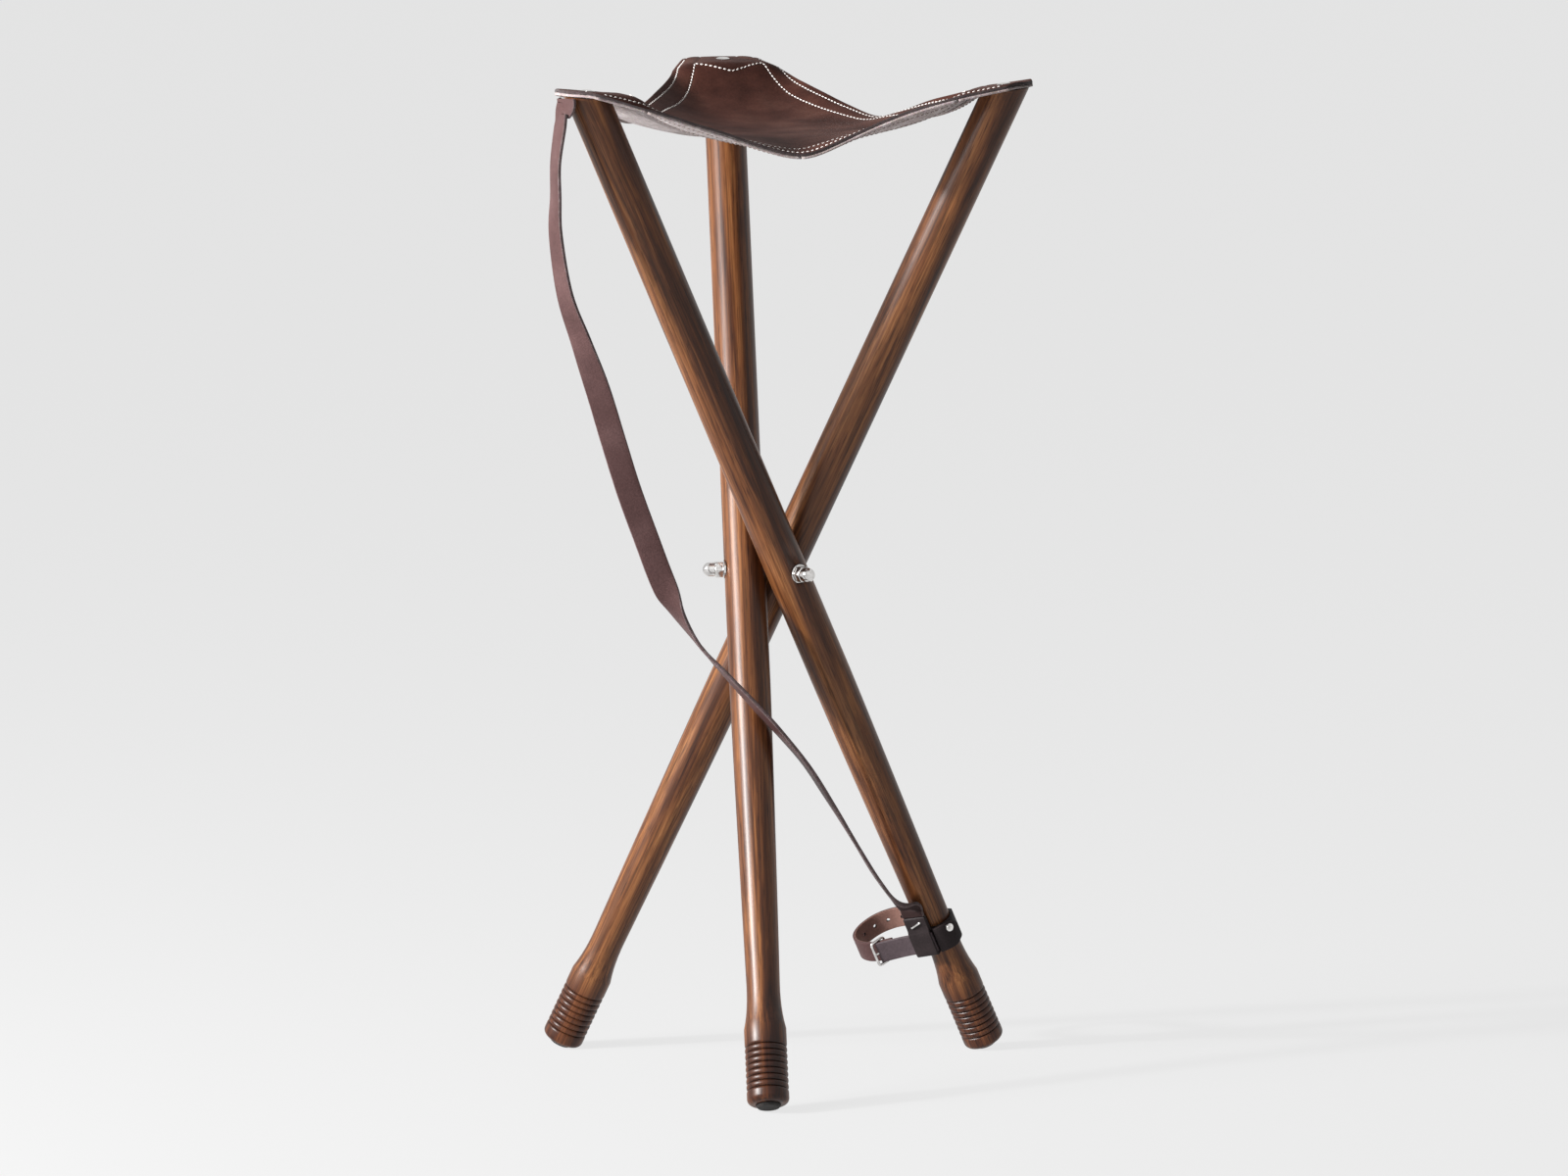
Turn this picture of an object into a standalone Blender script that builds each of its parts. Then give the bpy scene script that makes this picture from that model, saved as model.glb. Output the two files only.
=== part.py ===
# Folding tripod stool: three turned legs on a three-armed bolt, a leather sling seat,
# a leather carrying strap and a buckled belt that holds the folded legs together.
# Units are metres, +Z is up, and the stool stands on z = 0.

import math

import bmesh
import bpy
from mathutils import Matrix, Vector

MM = 0.001
GAP = 0.3 * MM

# Stance
SPLAY = math.radians(26.36)
LEG_CLEARANCE = 4.1 * MM
HUB_TO_TOP = 357.5 * MM
HUB_TO_FOOT = 367.8 * MM
TOP_SLOPE = {"front": math.radians(1.5), "right": math.radians(5.0), "left": math.radians(8.5)}
ARM_ANGLES = {"front": 180.0, "right": 300.0, "left": 60.0}

# Turned legs
LEG_DIAMETER = 27.2 * MM
WAIST_DEPTH = 2.7 * MM
FOOT_SWELL = 0.2 * MM
TAPER_START = 80.0 * MM
WAIST_FROM_END = 80.0 * MM
FOOT_LENGTH = 51.0 * MM
COVE_CURVE = 2.4
FOOT_EDGE_RADIUS = 4.0 * MM
GROOVE_COUNT = 8
GROOVE_DEPTH = 1.25 * MM
FIRST_GROOVE = 12.5 * MM
LAST_GROOVE = 9.52 * MM
LEG_SIDES = 24
PLUG_DIAMETER = 16.0 * MM
PLUG_LENGTH = 12.0 * MM
PLUG_PROUD = 2.2 * MM
PLUG_EDGE = 1.0 * MM

# Three-armed bolt with cap nuts
ARM_DIAMETER = 6.0 * MM
SPOT_DEPTH = 0.8 * MM
SPOT_DIAMETER = 13.5 * MM
WASHER_DIAMETER = 12.4 * MM
WASHER_THICKNESS = 1.2 * MM
NUT_FLATS = 10.0 * MM
NUT_HEX_HEIGHT = 5.5 * MM
NUT_HEIGHT = 13.4 * MM
NUT_BORE_DEPTH = 9.0 * MM
NUT_SIDES = 24

# Sling seat
LEATHER = 2.0 * MM
LINING = 1.6 * MM
TIP_OVERHANG = 1.2 * MM
CORNER_HALF_WIDTH = {"front": 26.0 * MM, "right": 22.0 * MM, "left": 22.0 * MM}
CORNER_ROUNDING = 9.0 * MM
SIDE_HOLLOW = 8.0 * MM
SEAT_SAG = 33.0 * MM
EDGE_SAG = {"front": 39.0 * MM, "right": 28.0 * MM, "left": 20.0 * MM}
EDGE_CURVE = {"front": 1.4, "right": 1.35, "left": 2.0}
GUTTER_CURVE = 3.2
HEM_WIDTH = 17.0 * MM
PATCH_LENGTH = 42.0 * MM
PATCH_POINT = 8.0 * MM

# Seat screws
SCREW_DIAMETER = 4.5 * MM
SCREW_DEPTH = 24.0 * MM
SCREW_HEAD_DIAMETER = 9.0 * MM
SCREW_HEAD_HEIGHT = 1.0 * MM

# Leather collar, keeper and closing belt on the right-hand leg
COLLAR_BELOW_HUB = 280.0 * MM
COLLAR_HEIGHT = 18.0 * MM
COLLAR_THICKNESS = 2.2 * MM
COLLAR_TAIL_START = math.radians(47.0)
COLLAR_TAIL_END = math.radians(118.0)
RIVET_ANGLE = math.radians(88.0)
RIVET_DIAMETER = 5.8 * MM
RIVET_HEIGHT = 1.3 * MM
RIVET_LIFT = 5.0 * MM
LOOP_DIRECTION = math.radians(-65.5)
BELT_WIDTH = 14.5 * MM
BELT_THICKNESS = 2.2 * MM
KEEPER_LENGTH = 16.0 * MM
KEEPER_HEIGHT = 19.0 * MM
KEEPER_WALL = 1.7 * MM
KEEPER_TAB = 11.0 * MM
STAPLE_WIRE = 1.5 * MM
STAPLE_LENGTH = 7.5 * MM
STAPLE_TILT = math.radians(22.0)
BUCKLE_WIRE = 1.8 * MM
PRONG_DIAMETER = 1.4 * MM

# Carrying strap
STRAP_WIDTH = 16.5 * MM
STRAP_THICKNESS = 2.4 * MM


for old in list(bpy.data.objects):
    bpy.data.objects.remove(old, do_unlink=True)

LEG_RADIUS = LEG_DIAMETER / 2
ARM_REACH = LEG_RADIUS + LEG_CLEARANCE
FOOT_RADIUS = LEG_RADIUS + FOOT_SWELL
WAIST_RADIUS = LEG_RADIUS - WAIST_DEPTH
GROOVE_PITCH = (FOOT_LENGTH - FIRST_GROOVE - LAST_GROOVE) / (GROOVE_COUNT - 1)
FOOT_RIM_DEPTH = (
    (FOOT_RADIUS - FOOT_EDGE_RADIUS) * math.sin(SPLAY)
    + FOOT_EDGE_RADIUS * (1 - math.cos(SPLAY))
)
PLUG_RIM_DEPTH = max(
    (PLUG_DIAMETER / 2 - PLUG_EDGE) * math.sin(SPLAY) + PLUG_PROUD * math.cos(SPLAY),
    PLUG_DIAMETER / 2 * math.sin(SPLAY) + (PLUG_PROUD - PLUG_EDGE) * math.cos(SPLAY),
)
HUB_HEIGHT = HUB_TO_FOOT * math.cos(SPLAY) + max(FOOT_RIM_DEPTH, PLUG_RIM_DEPTH)
TOP_RADIUS = math.hypot(ARM_REACH, HUB_TO_TOP * math.sin(SPLAY))
TOP_LEAD = math.atan2(ARM_REACH, HUB_TO_TOP * math.sin(SPLAY))
TOP_HEIGHT = HUB_HEIGHT + HUB_TO_TOP * math.cos(SPLAY)


def arm_direction(leg):
    angle = math.radians(ARM_ANGLES[leg])
    return Vector((math.cos(angle), math.sin(angle), 0))


def corner_angle(leg):
    return math.radians(ARM_ANGLES[leg]) - math.pi / 2 + TOP_LEAD


def leg_rotation(leg):
    turn = math.radians(ARM_ANGLES[leg]) - math.pi / 2
    return Matrix.Rotation(turn, 3, "Z") @ Matrix.Rotation(SPLAY, 3, "Y")


# Materials
def material(name, colour, roughness, metallic=0.0):
    made = bpy.data.materials.new(name)
    made.use_nodes = True
    shader = made.node_tree.nodes["Principled BSDF"]
    shader.inputs["Base Color"].default_value = (*colour, 1.0)
    shader.inputs["Roughness"].default_value = roughness
    shader.inputs["Metallic"].default_value = metallic
    return made


WALNUT = material("walnut", (0.16, 0.062, 0.026), 0.35)
RUBBER = material("rubber", (0.012, 0.012, 0.012), 0.8)
NICKEL = material("nickel_plate", (0.75, 0.74, 0.72), 0.15, 1.0)
STEEL = material("plain_steel", (0.45, 0.45, 0.46), 0.35, 1.0)
SEAT_LEATHER = material("seat_leather", (0.035, 0.018, 0.015), 0.5)
SUEDE = material("suede_lining", (0.36, 0.30, 0.27), 0.9)
STRAP_LEATHER = material("strap_leather", (0.095, 0.055, 0.055), 0.5)
COLLAR_LEATHER = material("collar_leather", (0.03, 0.026, 0.026), 0.5)


# Object helpers
def empty(name, parent=None, location=(0, 0, 0), rotation=None):
    made = bpy.data.objects.new(name, None)
    bpy.context.collection.objects.link(made)
    made.parent = parent
    made.location = location
    if rotation is not None:
        made.rotation_euler = rotation.to_euler()
    return made


def mesh_object(name, bm, finish, parent, smooth_angle=35.0):
    bmesh.ops.remove_doubles(bm, verts=bm.verts, dist=1e-7)
    bmesh.ops.recalc_face_normals(bm, faces=bm.faces)
    mesh = bpy.data.meshes.new(name)
    bm.to_mesh(mesh)
    bm.free()
    mesh.shade_smooth()
    mesh.set_sharp_from_angle(angle=math.radians(smooth_angle))
    made = bpy.data.objects.new(name, mesh)
    bpy.context.collection.objects.link(made)
    made.parent = parent
    if finish is not None:
        mesh.materials.append(finish)
    return made


def boolean(target, tool, operation="DIFFERENCE"):
    tool.hide_render = True
    tool.display_type = "WIRE"
    change = target.modifiers.new(tool.name, "BOOLEAN")
    change.operation = operation
    change.solver = "EXACT"
    change.object = tool


def arc(centre, radius, start, end, count):
    steps = [start + (end - start) * i / count for i in range(count + 1)]
    return [(centre[0] + radius * math.cos(a), centre[1] + radius * math.sin(a)) for a in steps]


def turned(profile, sides):
    # Spins a closed or axis-to-axis outline of (radius, height) points about Z.
    bm = bmesh.new()
    points = [bm.verts.new((r, 0, z)) for r, z in profile]
    edges = [bm.edges.new(pair) for pair in zip(points, points[1:])]
    if profile[0][0] > 0:
        edges.append(bm.edges.new((points[-1], points[0])))
    bmesh.ops.spin(
        bm, geom=points + edges, axis=(0, 0, 1), cent=(0, 0, 0),
        angle=2 * math.pi, steps=sides, use_merge=True,
    )
    return bm


def lofted(rings, closed=False):
    # Skins rings of equal point counts and caps the two ends of an open run.
    bm = bmesh.new()
    loops = [[bm.verts.new(p) for p in ring] for ring in rings]
    pairs = list(zip(loops, loops[1:]))
    if closed:
        pairs.append((loops[-1], loops[0]))
    for near, far in pairs:
        for i, start in enumerate(near):
            j = (i + 1) % len(near)
            bm.faces.new((start, near[j], far[j], far[i]))
    if not closed:
        bm.faces.new(loops[0])
        bm.faces.new(loops[-1])
    return bm


def prism(outline, low, high):
    bm = bmesh.new()
    face = bm.faces.new([bm.verts.new((x, y, low)) for x, y in outline])
    grown = bmesh.ops.extrude_face_region(bm, geom=[face])
    raised = [v for v in grown["geom"] if isinstance(v, bmesh.types.BMVert)]
    bmesh.ops.translate(bm, verts=raised, vec=(0, 0, high - low))
    return bm


def smooth_route(points, per_span):
    # Catmull-Rom curve through hand-chosen points.
    ends = [points[0] * 2 - points[1], *points, points[-1] * 2 - points[-2]]
    route = []
    for a, b, c, d in zip(ends, ends[1:], ends[2:], ends[3:]):
        for i in range(per_span):
            t = i / per_span
            route.append(
                0.5 * (2 * b + (c - a) * t + (2 * a - 5 * b + 4 * c - d) * t**2
                       + (3 * b - a - 3 * c + d) * t**3)
            )
    return [*route, points[-1].copy()]


def band_outline(route, thickness):
    # Outline of a strip of constant thickness that follows a flat route.
    left, right = [], []
    for i, point in enumerate(route):
        ahead = route[min(i + 1, len(route) - 1)] - route[max(i - 1, 0)]
        side = Vector((-ahead.y, ahead.x)).normalized() * thickness / 2
        left.append(point + side)
        right.append(point - side)
    return [tuple(p) for p in left + right[::-1]]


# Sling seat surface, in one corner's frame: +X out to the corner, heights from the leg top
SHEET_GAP = 1.5 * GAP
SEAT_RISE = LINING + GAP + SHEET_GAP
LEG_REACH = LEG_RADIUS / math.cos(SPLAY + max(TOP_SLOPE.values()))
TIP_RADIUS = TOP_RADIUS + LEG_REACH + TIP_OVERHANG
CORNER_RADIUS = TIP_RADIUS - CORNER_ROUNDING
LEG_INNER_EDGE = TOP_RADIUS - LEG_REACH
SIDE_ANGLE = math.pi / 3
NARROW_CORNER = min(CORNER_HALF_WIDTH.values())
STRAIGHT_SIDE = math.hypot(CORNER_RADIUS, NARROW_CORNER) * math.cos(
    SIDE_ANGLE - math.atan2(NARROW_CORNER, CORNER_RADIUS)
)
MIDDLE_RADIUS = STRAIGHT_SIDE - SIDE_HOLLOW
DIP_ROUNDING = 0.12
FOLD_ROUNDING = 3.0 * MM


def leg_top_plane(leg, radius):
    return (radius - TOP_RADIUS) * math.tan(TOP_SLOPE[leg])


def smooth_least(a, b, blend):
    share = max(blend - abs(a - b), 0) / blend
    return min(a, b) - share * share * blend / 4


def gutter_height(leg, radius):
    resting = SEAT_RISE + leg_top_plane(leg, radius)
    leave = LEG_INNER_EDGE - 2 * FOLD_ROUNDING
    start = SEAT_RISE + leg_top_plane(leg, leave)
    hanging = start - (SEAT_SAG + start) * (1 - (radius / leave) ** GUTTER_CURVE)
    return smooth_least(resting, hanging, FOLD_ROUNDING)


SIDES = {
    ("right", 1): "front", ("left", -1): "front", ("left", 1): "right",
    ("front", -1): "right", ("front", 1): "left", ("right", -1): "left",
}


def edge_height(leg, q, w):
    side = SIDES[leg, 1 if w > 0 else -1]
    rounded = math.hypot(q, DIP_ROUNDING) - DIP_ROUNDING
    drop = EDGE_SAG[side] * max(0.0, 1 - rounded / 0.95) ** EDGE_CURVE[leg]
    return (SEAT_RISE + leg_top_plane(leg, CORNER_RADIUS)) * q**6 - drop


def edge_point(leg, q):
    # Seat edge from the middle of a side (q = 0) to the corner (q = 1), slightly hollow.
    middle = Vector((math.cos(SIDE_ANGLE), math.sin(SIDE_ANGLE))) * MIDDLE_RADIUS
    corner = Vector((CORNER_RADIUS, CORNER_HALF_WIDTH[leg]))
    outward = Vector((math.cos(SIDE_ANGLE), math.sin(SIDE_ANGLE)))
    return middle.lerp(corner, q) + outward * SIDE_HOLLOW * (q**2 - q)


def seat_point(leg, q, w):
    side = edge_point(leg, q)
    across = abs(w)
    x = q * TIP_RADIUS + (side.x - q * TIP_RADIUS) * across ** (1 + q)
    y = side.y * w
    z = gutter_height(leg, q * TIP_RADIUS)
    z += (edge_height(leg, q, w) - z) * across ** (2 + 4 * q**2)
    return Vector((x, y, z))


def seat_normal(leg, q, w):
    step = 0.004
    along = seat_point(leg, min(q + step, 1), w) - seat_point(leg, max(q - step, 0), w)
    over = seat_point(leg, q, min(w + step, 1)) - seat_point(leg, q, max(w - step, -1))
    normal = along.cross(over).normalized()
    if q == 0:
        # The two corners that share this line get the same normal.
        apart = Vector((-math.sin(SIDE_ANGLE), math.copysign(math.cos(SIDE_ANGLE), w), 0))
        normal = (normal - apart * normal.dot(apart)).normalized()
    return normal


def seat_offset(leg, q, w, lift):
    point = seat_point(leg, q, w)
    if lift:
        point = point + seat_normal(leg, q, w) * lift
    turned_point = Matrix.Rotation(corner_angle(leg), 3, "Z") @ point
    return turned_point + Vector((0, 0, TOP_HEIGHT))


def sheet_object(name, grids, lift, thickness, finish, parent):
    # Joins grids of points into one sheet and gives it its thickness along its normals.
    bm = bmesh.new()
    for grid in grids:
        rows = [[bm.verts.new(p) for p in row] for row in grid]
        for near, far in zip(rows, rows[1:]):
            for i in range(len(near) - 1):
                bm.faces.new((near[i], far[i], far[i + 1], near[i + 1]))
    bmesh.ops.remove_doubles(bm, verts=bm.verts, dist=1e-5)
    bmesh.ops.recalc_face_normals(bm, faces=bm.faces)
    if sum(f.normal.z for f in bm.faces) < 0:
        bmesh.ops.reverse_faces(bm, faces=bm.faces)
    mesh = bpy.data.meshes.new(name)
    bm.to_mesh(mesh)
    bm.free()
    mesh.shade_smooth()
    made = bpy.data.objects.new(name, mesh)
    bpy.context.collection.objects.link(made)
    made.parent = parent
    mesh.materials.append(finish)
    wall = made.modifiers.new("thickness", "SOLIDIFY")
    wall.thickness = thickness
    wall.offset = lift
    return made


# Placement frames
def footprint_centre():
    reach = []
    for leg in ARM_ANGLES:
        for i in range(9):
            reach.append(seat_offset(leg, 1.0, i / 4 - 1, 0.0))
        turn = leg_rotation(leg)
        for i in range(LEG_SIDES):
            angle = 2 * math.pi * i / LEG_SIDES
            rim = Vector((math.cos(angle), math.sin(angle), 0)) * FOOT_RADIUS
            rim.z = FOOT_EDGE_RADIUS - HUB_TO_FOOT
            reach.append(arm_direction(leg) * ARM_REACH + turn @ rim)
    middle = [(min(p[i] for p in reach) + max(p[i] for p in reach)) / 2 for i in range(2)]
    return Vector((*middle, 0))


STOOL = empty("stool_frame", location=-footprint_centre())
HUB = empty("hub_frame", STOOL, (0, 0, HUB_HEIGHT))
LEG_FRAMES = {
    leg: empty(f"leg_{leg}_pivot", HUB, arm_direction(leg) * ARM_REACH, leg_rotation(leg))
    for leg in ARM_ANGLES
}


# Turned leg
def leg_radius(below):
    waist = HUB_TO_FOOT - WAIST_FROM_END
    flare = HUB_TO_FOOT - FOOT_LENGTH
    if below <= TAPER_START:
        return LEG_RADIUS
    if below <= waist:
        share = (below - TAPER_START) / (waist - TAPER_START)
        return LEG_RADIUS + (WAIST_RADIUS - LEG_RADIUS) * share ** 1.25
    share = min((below - waist) / (flare - waist), 1.0)
    return WAIST_RADIUS + (FOOT_RADIUS - WAIST_RADIUS) * share ** COVE_CURVE


def leg_profile():
    waist = HUB_TO_FOOT - WAIST_FROM_END
    flare = HUB_TO_FOOT - FOOT_LENGTH
    longest = HUB_TO_TOP + LEG_DIAMETER
    profile = [(0, longest), (LEG_RADIUS, longest)]
    stations = [TAPER_START + (waist - TAPER_START) * i / 6 for i in range(7)]
    stations += [waist + (flare - waist) * (i + 1) / 7 for i in range(7)]
    profile += [(leg_radius(s), -s) for s in stations]
    for i in range(GROOVE_COUNT):
        middle = -(flare + FIRST_GROOVE + GROOVE_PITCH * i)
        profile.append((FOOT_RADIUS, middle + GROOVE_PITCH * 0.34))
        profile.append((FOOT_RADIUS - GROOVE_DEPTH, middle))
        profile.append((FOOT_RADIUS, middle - GROOVE_PITCH * 0.34))
    centre = (FOOT_RADIUS - FOOT_EDGE_RADIUS, FOOT_EDGE_RADIUS - HUB_TO_FOOT)
    profile += arc(centre, FOOT_EDGE_RADIUS, 0, -math.pi / 2, 4)
    socket = PLUG_DIAMETER / 2 + GAP
    bottom = PLUG_LENGTH - PLUG_PROUD + GAP - HUB_TO_FOOT
    return profile + [(socket, -HUB_TO_FOOT), (socket, bottom), (0, bottom)]


def top_normal(leg):
    # Outward normal of the sloping leg top, in the leg's own frame.
    angle = corner_angle(leg)
    out = Vector((math.cos(angle), math.sin(angle), 0))
    slope = TOP_SLOPE[leg]
    normal = Vector((0, 0, 1)) * math.cos(slope) - out * math.sin(slope)
    return leg_rotation(leg).transposed() @ normal


def cylinder_tool(name, parent, diameter, low, high, along=(0, 0, 1), centre=(0, 0, 0)):
    bm = turned([(0, high), (diameter / 2, high), (diameter / 2, low), (0, low)], 24)
    turn = Vector((0, 0, 1)).rotation_difference(Vector(along)).to_matrix().to_4x4()
    bmesh.ops.transform(bm, matrix=Matrix.Translation(centre) @ turn, verts=bm.verts)
    return mesh_object(name, bm, None, parent)


def make_leg(leg):
    frame = LEG_FRAMES[leg]
    bm = turned(leg_profile(), LEG_SIDES)
    normal = top_normal(leg)
    cut = bmesh.ops.bisect_plane(
        bm, geom=bm.verts[:] + bm.edges[:] + bm.faces[:],
        plane_co=(0, 0, HUB_TO_TOP), plane_no=normal, clear_outer=True,
    )
    rim = [e for e in cut["geom_cut"] if isinstance(e, bmesh.types.BMEdge)]
    bmesh.ops.contextual_create(bm, geom=rim)
    body = mesh_object(f"leg_{leg}", bm, WALNUT, frame)
    bore = ARM_DIAMETER + 2 * GAP
    hole = cylinder_tool(
        f"arm_hole_{leg}", frame, bore, -LEG_DIAMETER, LEG_DIAMETER, (0, 1, 0)
    )
    flat = LEG_RADIUS - SPOT_DEPTH
    spot = cylinder_tool(
        f"spot_face_{leg}", frame, SPOT_DIAMETER, flat, LEG_DIAMETER, (0, 1, 0)
    )
    pilot = cylinder_tool(
        f"pilot_hole_{leg}", frame, SCREW_DIAMETER + 2 * GAP, -SCREW_DEPTH - 2 * GAP,
        LEG_RADIUS, normal, (0, 0, HUB_TO_TOP),
    )
    for tool in (hole, spot, pilot):
        boolean(body, tool)


def make_foot_plug(leg):
    radius = PLUG_DIAMETER / 2
    low = -HUB_TO_FOOT - PLUG_PROUD
    high = low + PLUG_LENGTH
    profile = [(0, high), (radius, high), (radius, low + PLUG_EDGE), (radius - PLUG_EDGE, low), (0, low)]
    mesh_object(f"foot_plug_{leg}", turned(profile, LEG_SIDES), RUBBER, LEG_FRAMES[leg])


# Three-armed bolt, washers and cap nuts, along +Z of each arm's frame
WASHER_AT = ARM_REACH + LEG_RADIUS - SPOT_DEPTH + GAP
NUT_AT = WASHER_AT + WASHER_THICKNESS + GAP
ARM_LENGTH = NUT_AT + NUT_BORE_DEPTH - 2 * GAP


def arm_frame(leg):
    turn = Vector((0, 0, 1)).rotation_difference(arm_direction(leg)).to_matrix()
    return empty(f"arm_{leg}_frame", HUB, rotation=turn)


def make_star(frames):
    radius = ARM_DIAMETER / 2
    chamfer = 0.8 * MM
    arms = []
    for leg, frame in frames.items():
        profile = [(0, ARM_LENGTH), (radius - chamfer, ARM_LENGTH)]
        profile += [(radius, ARM_LENGTH - chamfer), (radius, 0), (0, 0)]
        arms.append(mesh_object(f"arm_{leg}", turned(profile, 20), STEEL, frame))
    core = bmesh.new()
    bmesh.ops.create_icosphere(core, subdivisions=2, radius=radius * 1.12)
    star = mesh_object("hub_star", core, STEEL, HUB)
    for arm in arms:
        boolean(star, arm, "UNION")


def make_washer(leg, frame):
    outer, inner = WASHER_DIAMETER / 2, ARM_DIAMETER / 2 + GAP
    low, high = WASHER_AT, WASHER_AT + WASHER_THICKNESS
    chamfer = 0.25 * MM
    profile = [(inner, high), (outer - chamfer, high), (outer, high - chamfer), (outer, low), (inner, low)]
    mesh_object(f"arm_washer_{leg}", turned(profile, NUT_SIDES), NICKEL, frame)


def nut_ring(radius, height, hexagonal):
    ring = []
    for i in range(NUT_SIDES):
        angle = 2 * math.pi * i / NUT_SIDES
        reach = radius
        if hexagonal:
            reach = radius / math.cos(angle % (math.pi / 3) - math.pi / 6)
        ring.append((reach * math.cos(angle), reach * math.sin(angle), height))
    return ring


def make_cap_nut(leg, frame):
    flat = NUT_FLATS / 2
    dome = flat * 0.96
    bore = ARM_DIAMETER / 2 + GAP
    neck = NUT_AT + NUT_HEX_HEIGHT
    shoulder = NUT_AT + NUT_HEIGHT - dome
    rings = [nut_ring(bore, NUT_AT + NUT_BORE_DEPTH, False), nut_ring(bore, NUT_AT, False)]
    rings += [nut_ring(flat, NUT_AT, True), nut_ring(flat, neck - 0.5 * MM, True)]
    rings += [nut_ring(dome, neck, False), nut_ring(dome, shoulder, False)]
    for i in range(1, 7):
        angle = math.pi / 2 * i / 7
        rings.append(nut_ring(dome * math.cos(angle), shoulder + dome * math.sin(angle), False))
    bm = lofted(rings)
    mesh_object(f"cap_nut_{leg}", bm, NICKEL, frame, 40.0)


# Sling seat
SHOULDER = 1 - PATCH_LENGTH / TIP_RADIUS
HEM_END = SHOULDER - 4 * GAP / TIP_RADIUS
HEM_ROWS = [HEM_END * i / 12 for i in range(13)]
PATCH_ROWS = [SHOULDER + (1 - SHOULDER) * i / 6 for i in range(7)]


def hem_share(leg, q):
    # Share of the half width that the hem takes at this place along the edge.
    side = edge_point(leg, q)
    return HEM_WIDTH / math.hypot(side.x - q * TIP_RADIUS, side.y)


def seat_columns(leg, q):
    hem = hem_share(leg, q)
    inner = 1 - hem
    half = [inner / 3, inner * 2 / 3, inner, 1 - hem / 2, 1]
    return [-w for w in reversed(half)] + [0] + half


def make_seat_panel():
    grids = []
    for leg in ARM_ANGLES:
        rows = HEM_ROWS + PATCH_ROWS
        grids.append([[seat_offset(leg, q, w, 0.0) for w in seat_columns(leg, q)] for q in rows])
    return sheet_object("seat_panel", grids, 1, LEATHER, SEAT_LEATHER, STOOL)


def make_corner_patch(leg):
    # The inner end comes to a low point between the two hems.
    columns = seat_columns(leg, SHOULDER)
    inner = 1 - hem_share(leg, SHOULDER)
    first = []
    for w in columns:
        point = max(0.0, 1 - abs(w) / inner) * PATCH_POINT / TIP_RADIUS
        first.append(seat_offset(leg, SHOULDER - point, w, -SHEET_GAP))
    grid = [first]
    for q in PATCH_ROWS:
        grid.append([seat_offset(leg, q, w, -SHEET_GAP) for w in seat_columns(leg, q)])
    return sheet_object(f"corner_patch_{leg}", [grid], -1, LINING, SUEDE, STOOL)


def make_edge_band(name, leg, next_leg):
    grids = []
    for corner, hand in ((leg, 1), (next_leg, -1)):
        grid = []
        for q in HEM_ROWS:
            columns = [hand * w for w in seat_columns(corner, q)[-3:]]
            grid.append([seat_offset(corner, q, w, -SHEET_GAP) for w in columns])
        grids.append(grid)
    sheet_object(name, grids, -1, LINING, SUEDE, STOOL)


def make_seat_fixing(leg, sheets):
    top = empty(
        f"leg_{leg}_top", LEG_FRAMES[leg], (0, 0, HUB_TO_TOP),
        Vector((0, 0, 1)).rotation_difference(top_normal(leg)).to_matrix(),
    )
    seat_top = SEAT_RISE + LEATHER
    shank, head = SCREW_DIAMETER / 2, SCREW_HEAD_DIAMETER / 2
    head_low = seat_top + GAP
    turns = [math.pi / 2 * i / 4 for i in range(5)]
    dome = [(head * math.sin(a), head_low + SCREW_HEAD_HEIGHT * math.cos(a)) for a in turns]
    profile = dome + [(shank, head_low), (shank, shank - SCREW_DEPTH), (0, -SCREW_DEPTH)]
    mesh_object(f"seat_screw_{leg}", turned(profile, 20), NICKEL, top)
    hole = cylinder_tool(
        f"screw_hole_{leg}", top, SCREW_DIAMETER + 2 * GAP, -SEAT_RISE, 2 * seat_top
    )
    for sheet in sheets:
        boolean(sheet, hole)


# Collar, keeper, belt and buckle, in the right-hand leg's frame around the collar
COLLAR = empty(
    "collar_frame", LEG_FRAMES["right"], (0, 0, -COLLAR_BELOW_HUB),
    Matrix.Rotation(LOOP_DIRECTION, 3, "Z"),
)
COLLAR_ENDS = [COLLAR_BELOW_HUB - COLLAR_HEIGHT / 2, COLLAR_BELOW_HUB + COLLAR_HEIGHT / 2]
COLLAR_INNER = max(leg_radius(end) for end in COLLAR_ENDS) + GAP
COLLAR_OUTER = COLLAR_INNER + COLLAR_THICKNESS
BELT_RUN = COLLAR_OUTER + GAP + BELT_THICKNESS / 2
LAYER_STEP = BELT_THICKNESS + 2 * GAP


def in_collar(points):
    return [Vector((x * MM, y * MM)) for x, y in points]


FRONT_ROUTE = in_collar([(-4.8, 0.0), (10.0, 1.2), (19.0, 2.4), (28.0, 4.6), (36.6, 7.0)])
FRONT_ROUTE = [p + Vector((0, BELT_RUN)) for p in FRONT_ROUTE]
BACK_START = [math.radians(a) for a in (-112, -103, -94)]
BACK_ROUTE = [Vector((math.cos(a), math.sin(a))) * BELT_RUN for a in BACK_START]
BACK_OUT = in_collar(
    [(11.0, -2.93), (24.0, -6.93), (37.0, -9.93), (48.0, -9.33), (57.5, -3.43), (62.8, 7.07)]
)
BACK_HOME = in_collar(
    [(62.6, -12.07), (57.6, -3.07), (50.0, 2.33), (42.0, 4.33), (34.0, 3.53), (26.0, 1.53)]
)
BACK_ROUTE += [p - Vector((0, BELT_RUN)) for p in BACK_OUT] + [p + Vector((0, BELT_RUN)) for p in BACK_HOME]


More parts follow.
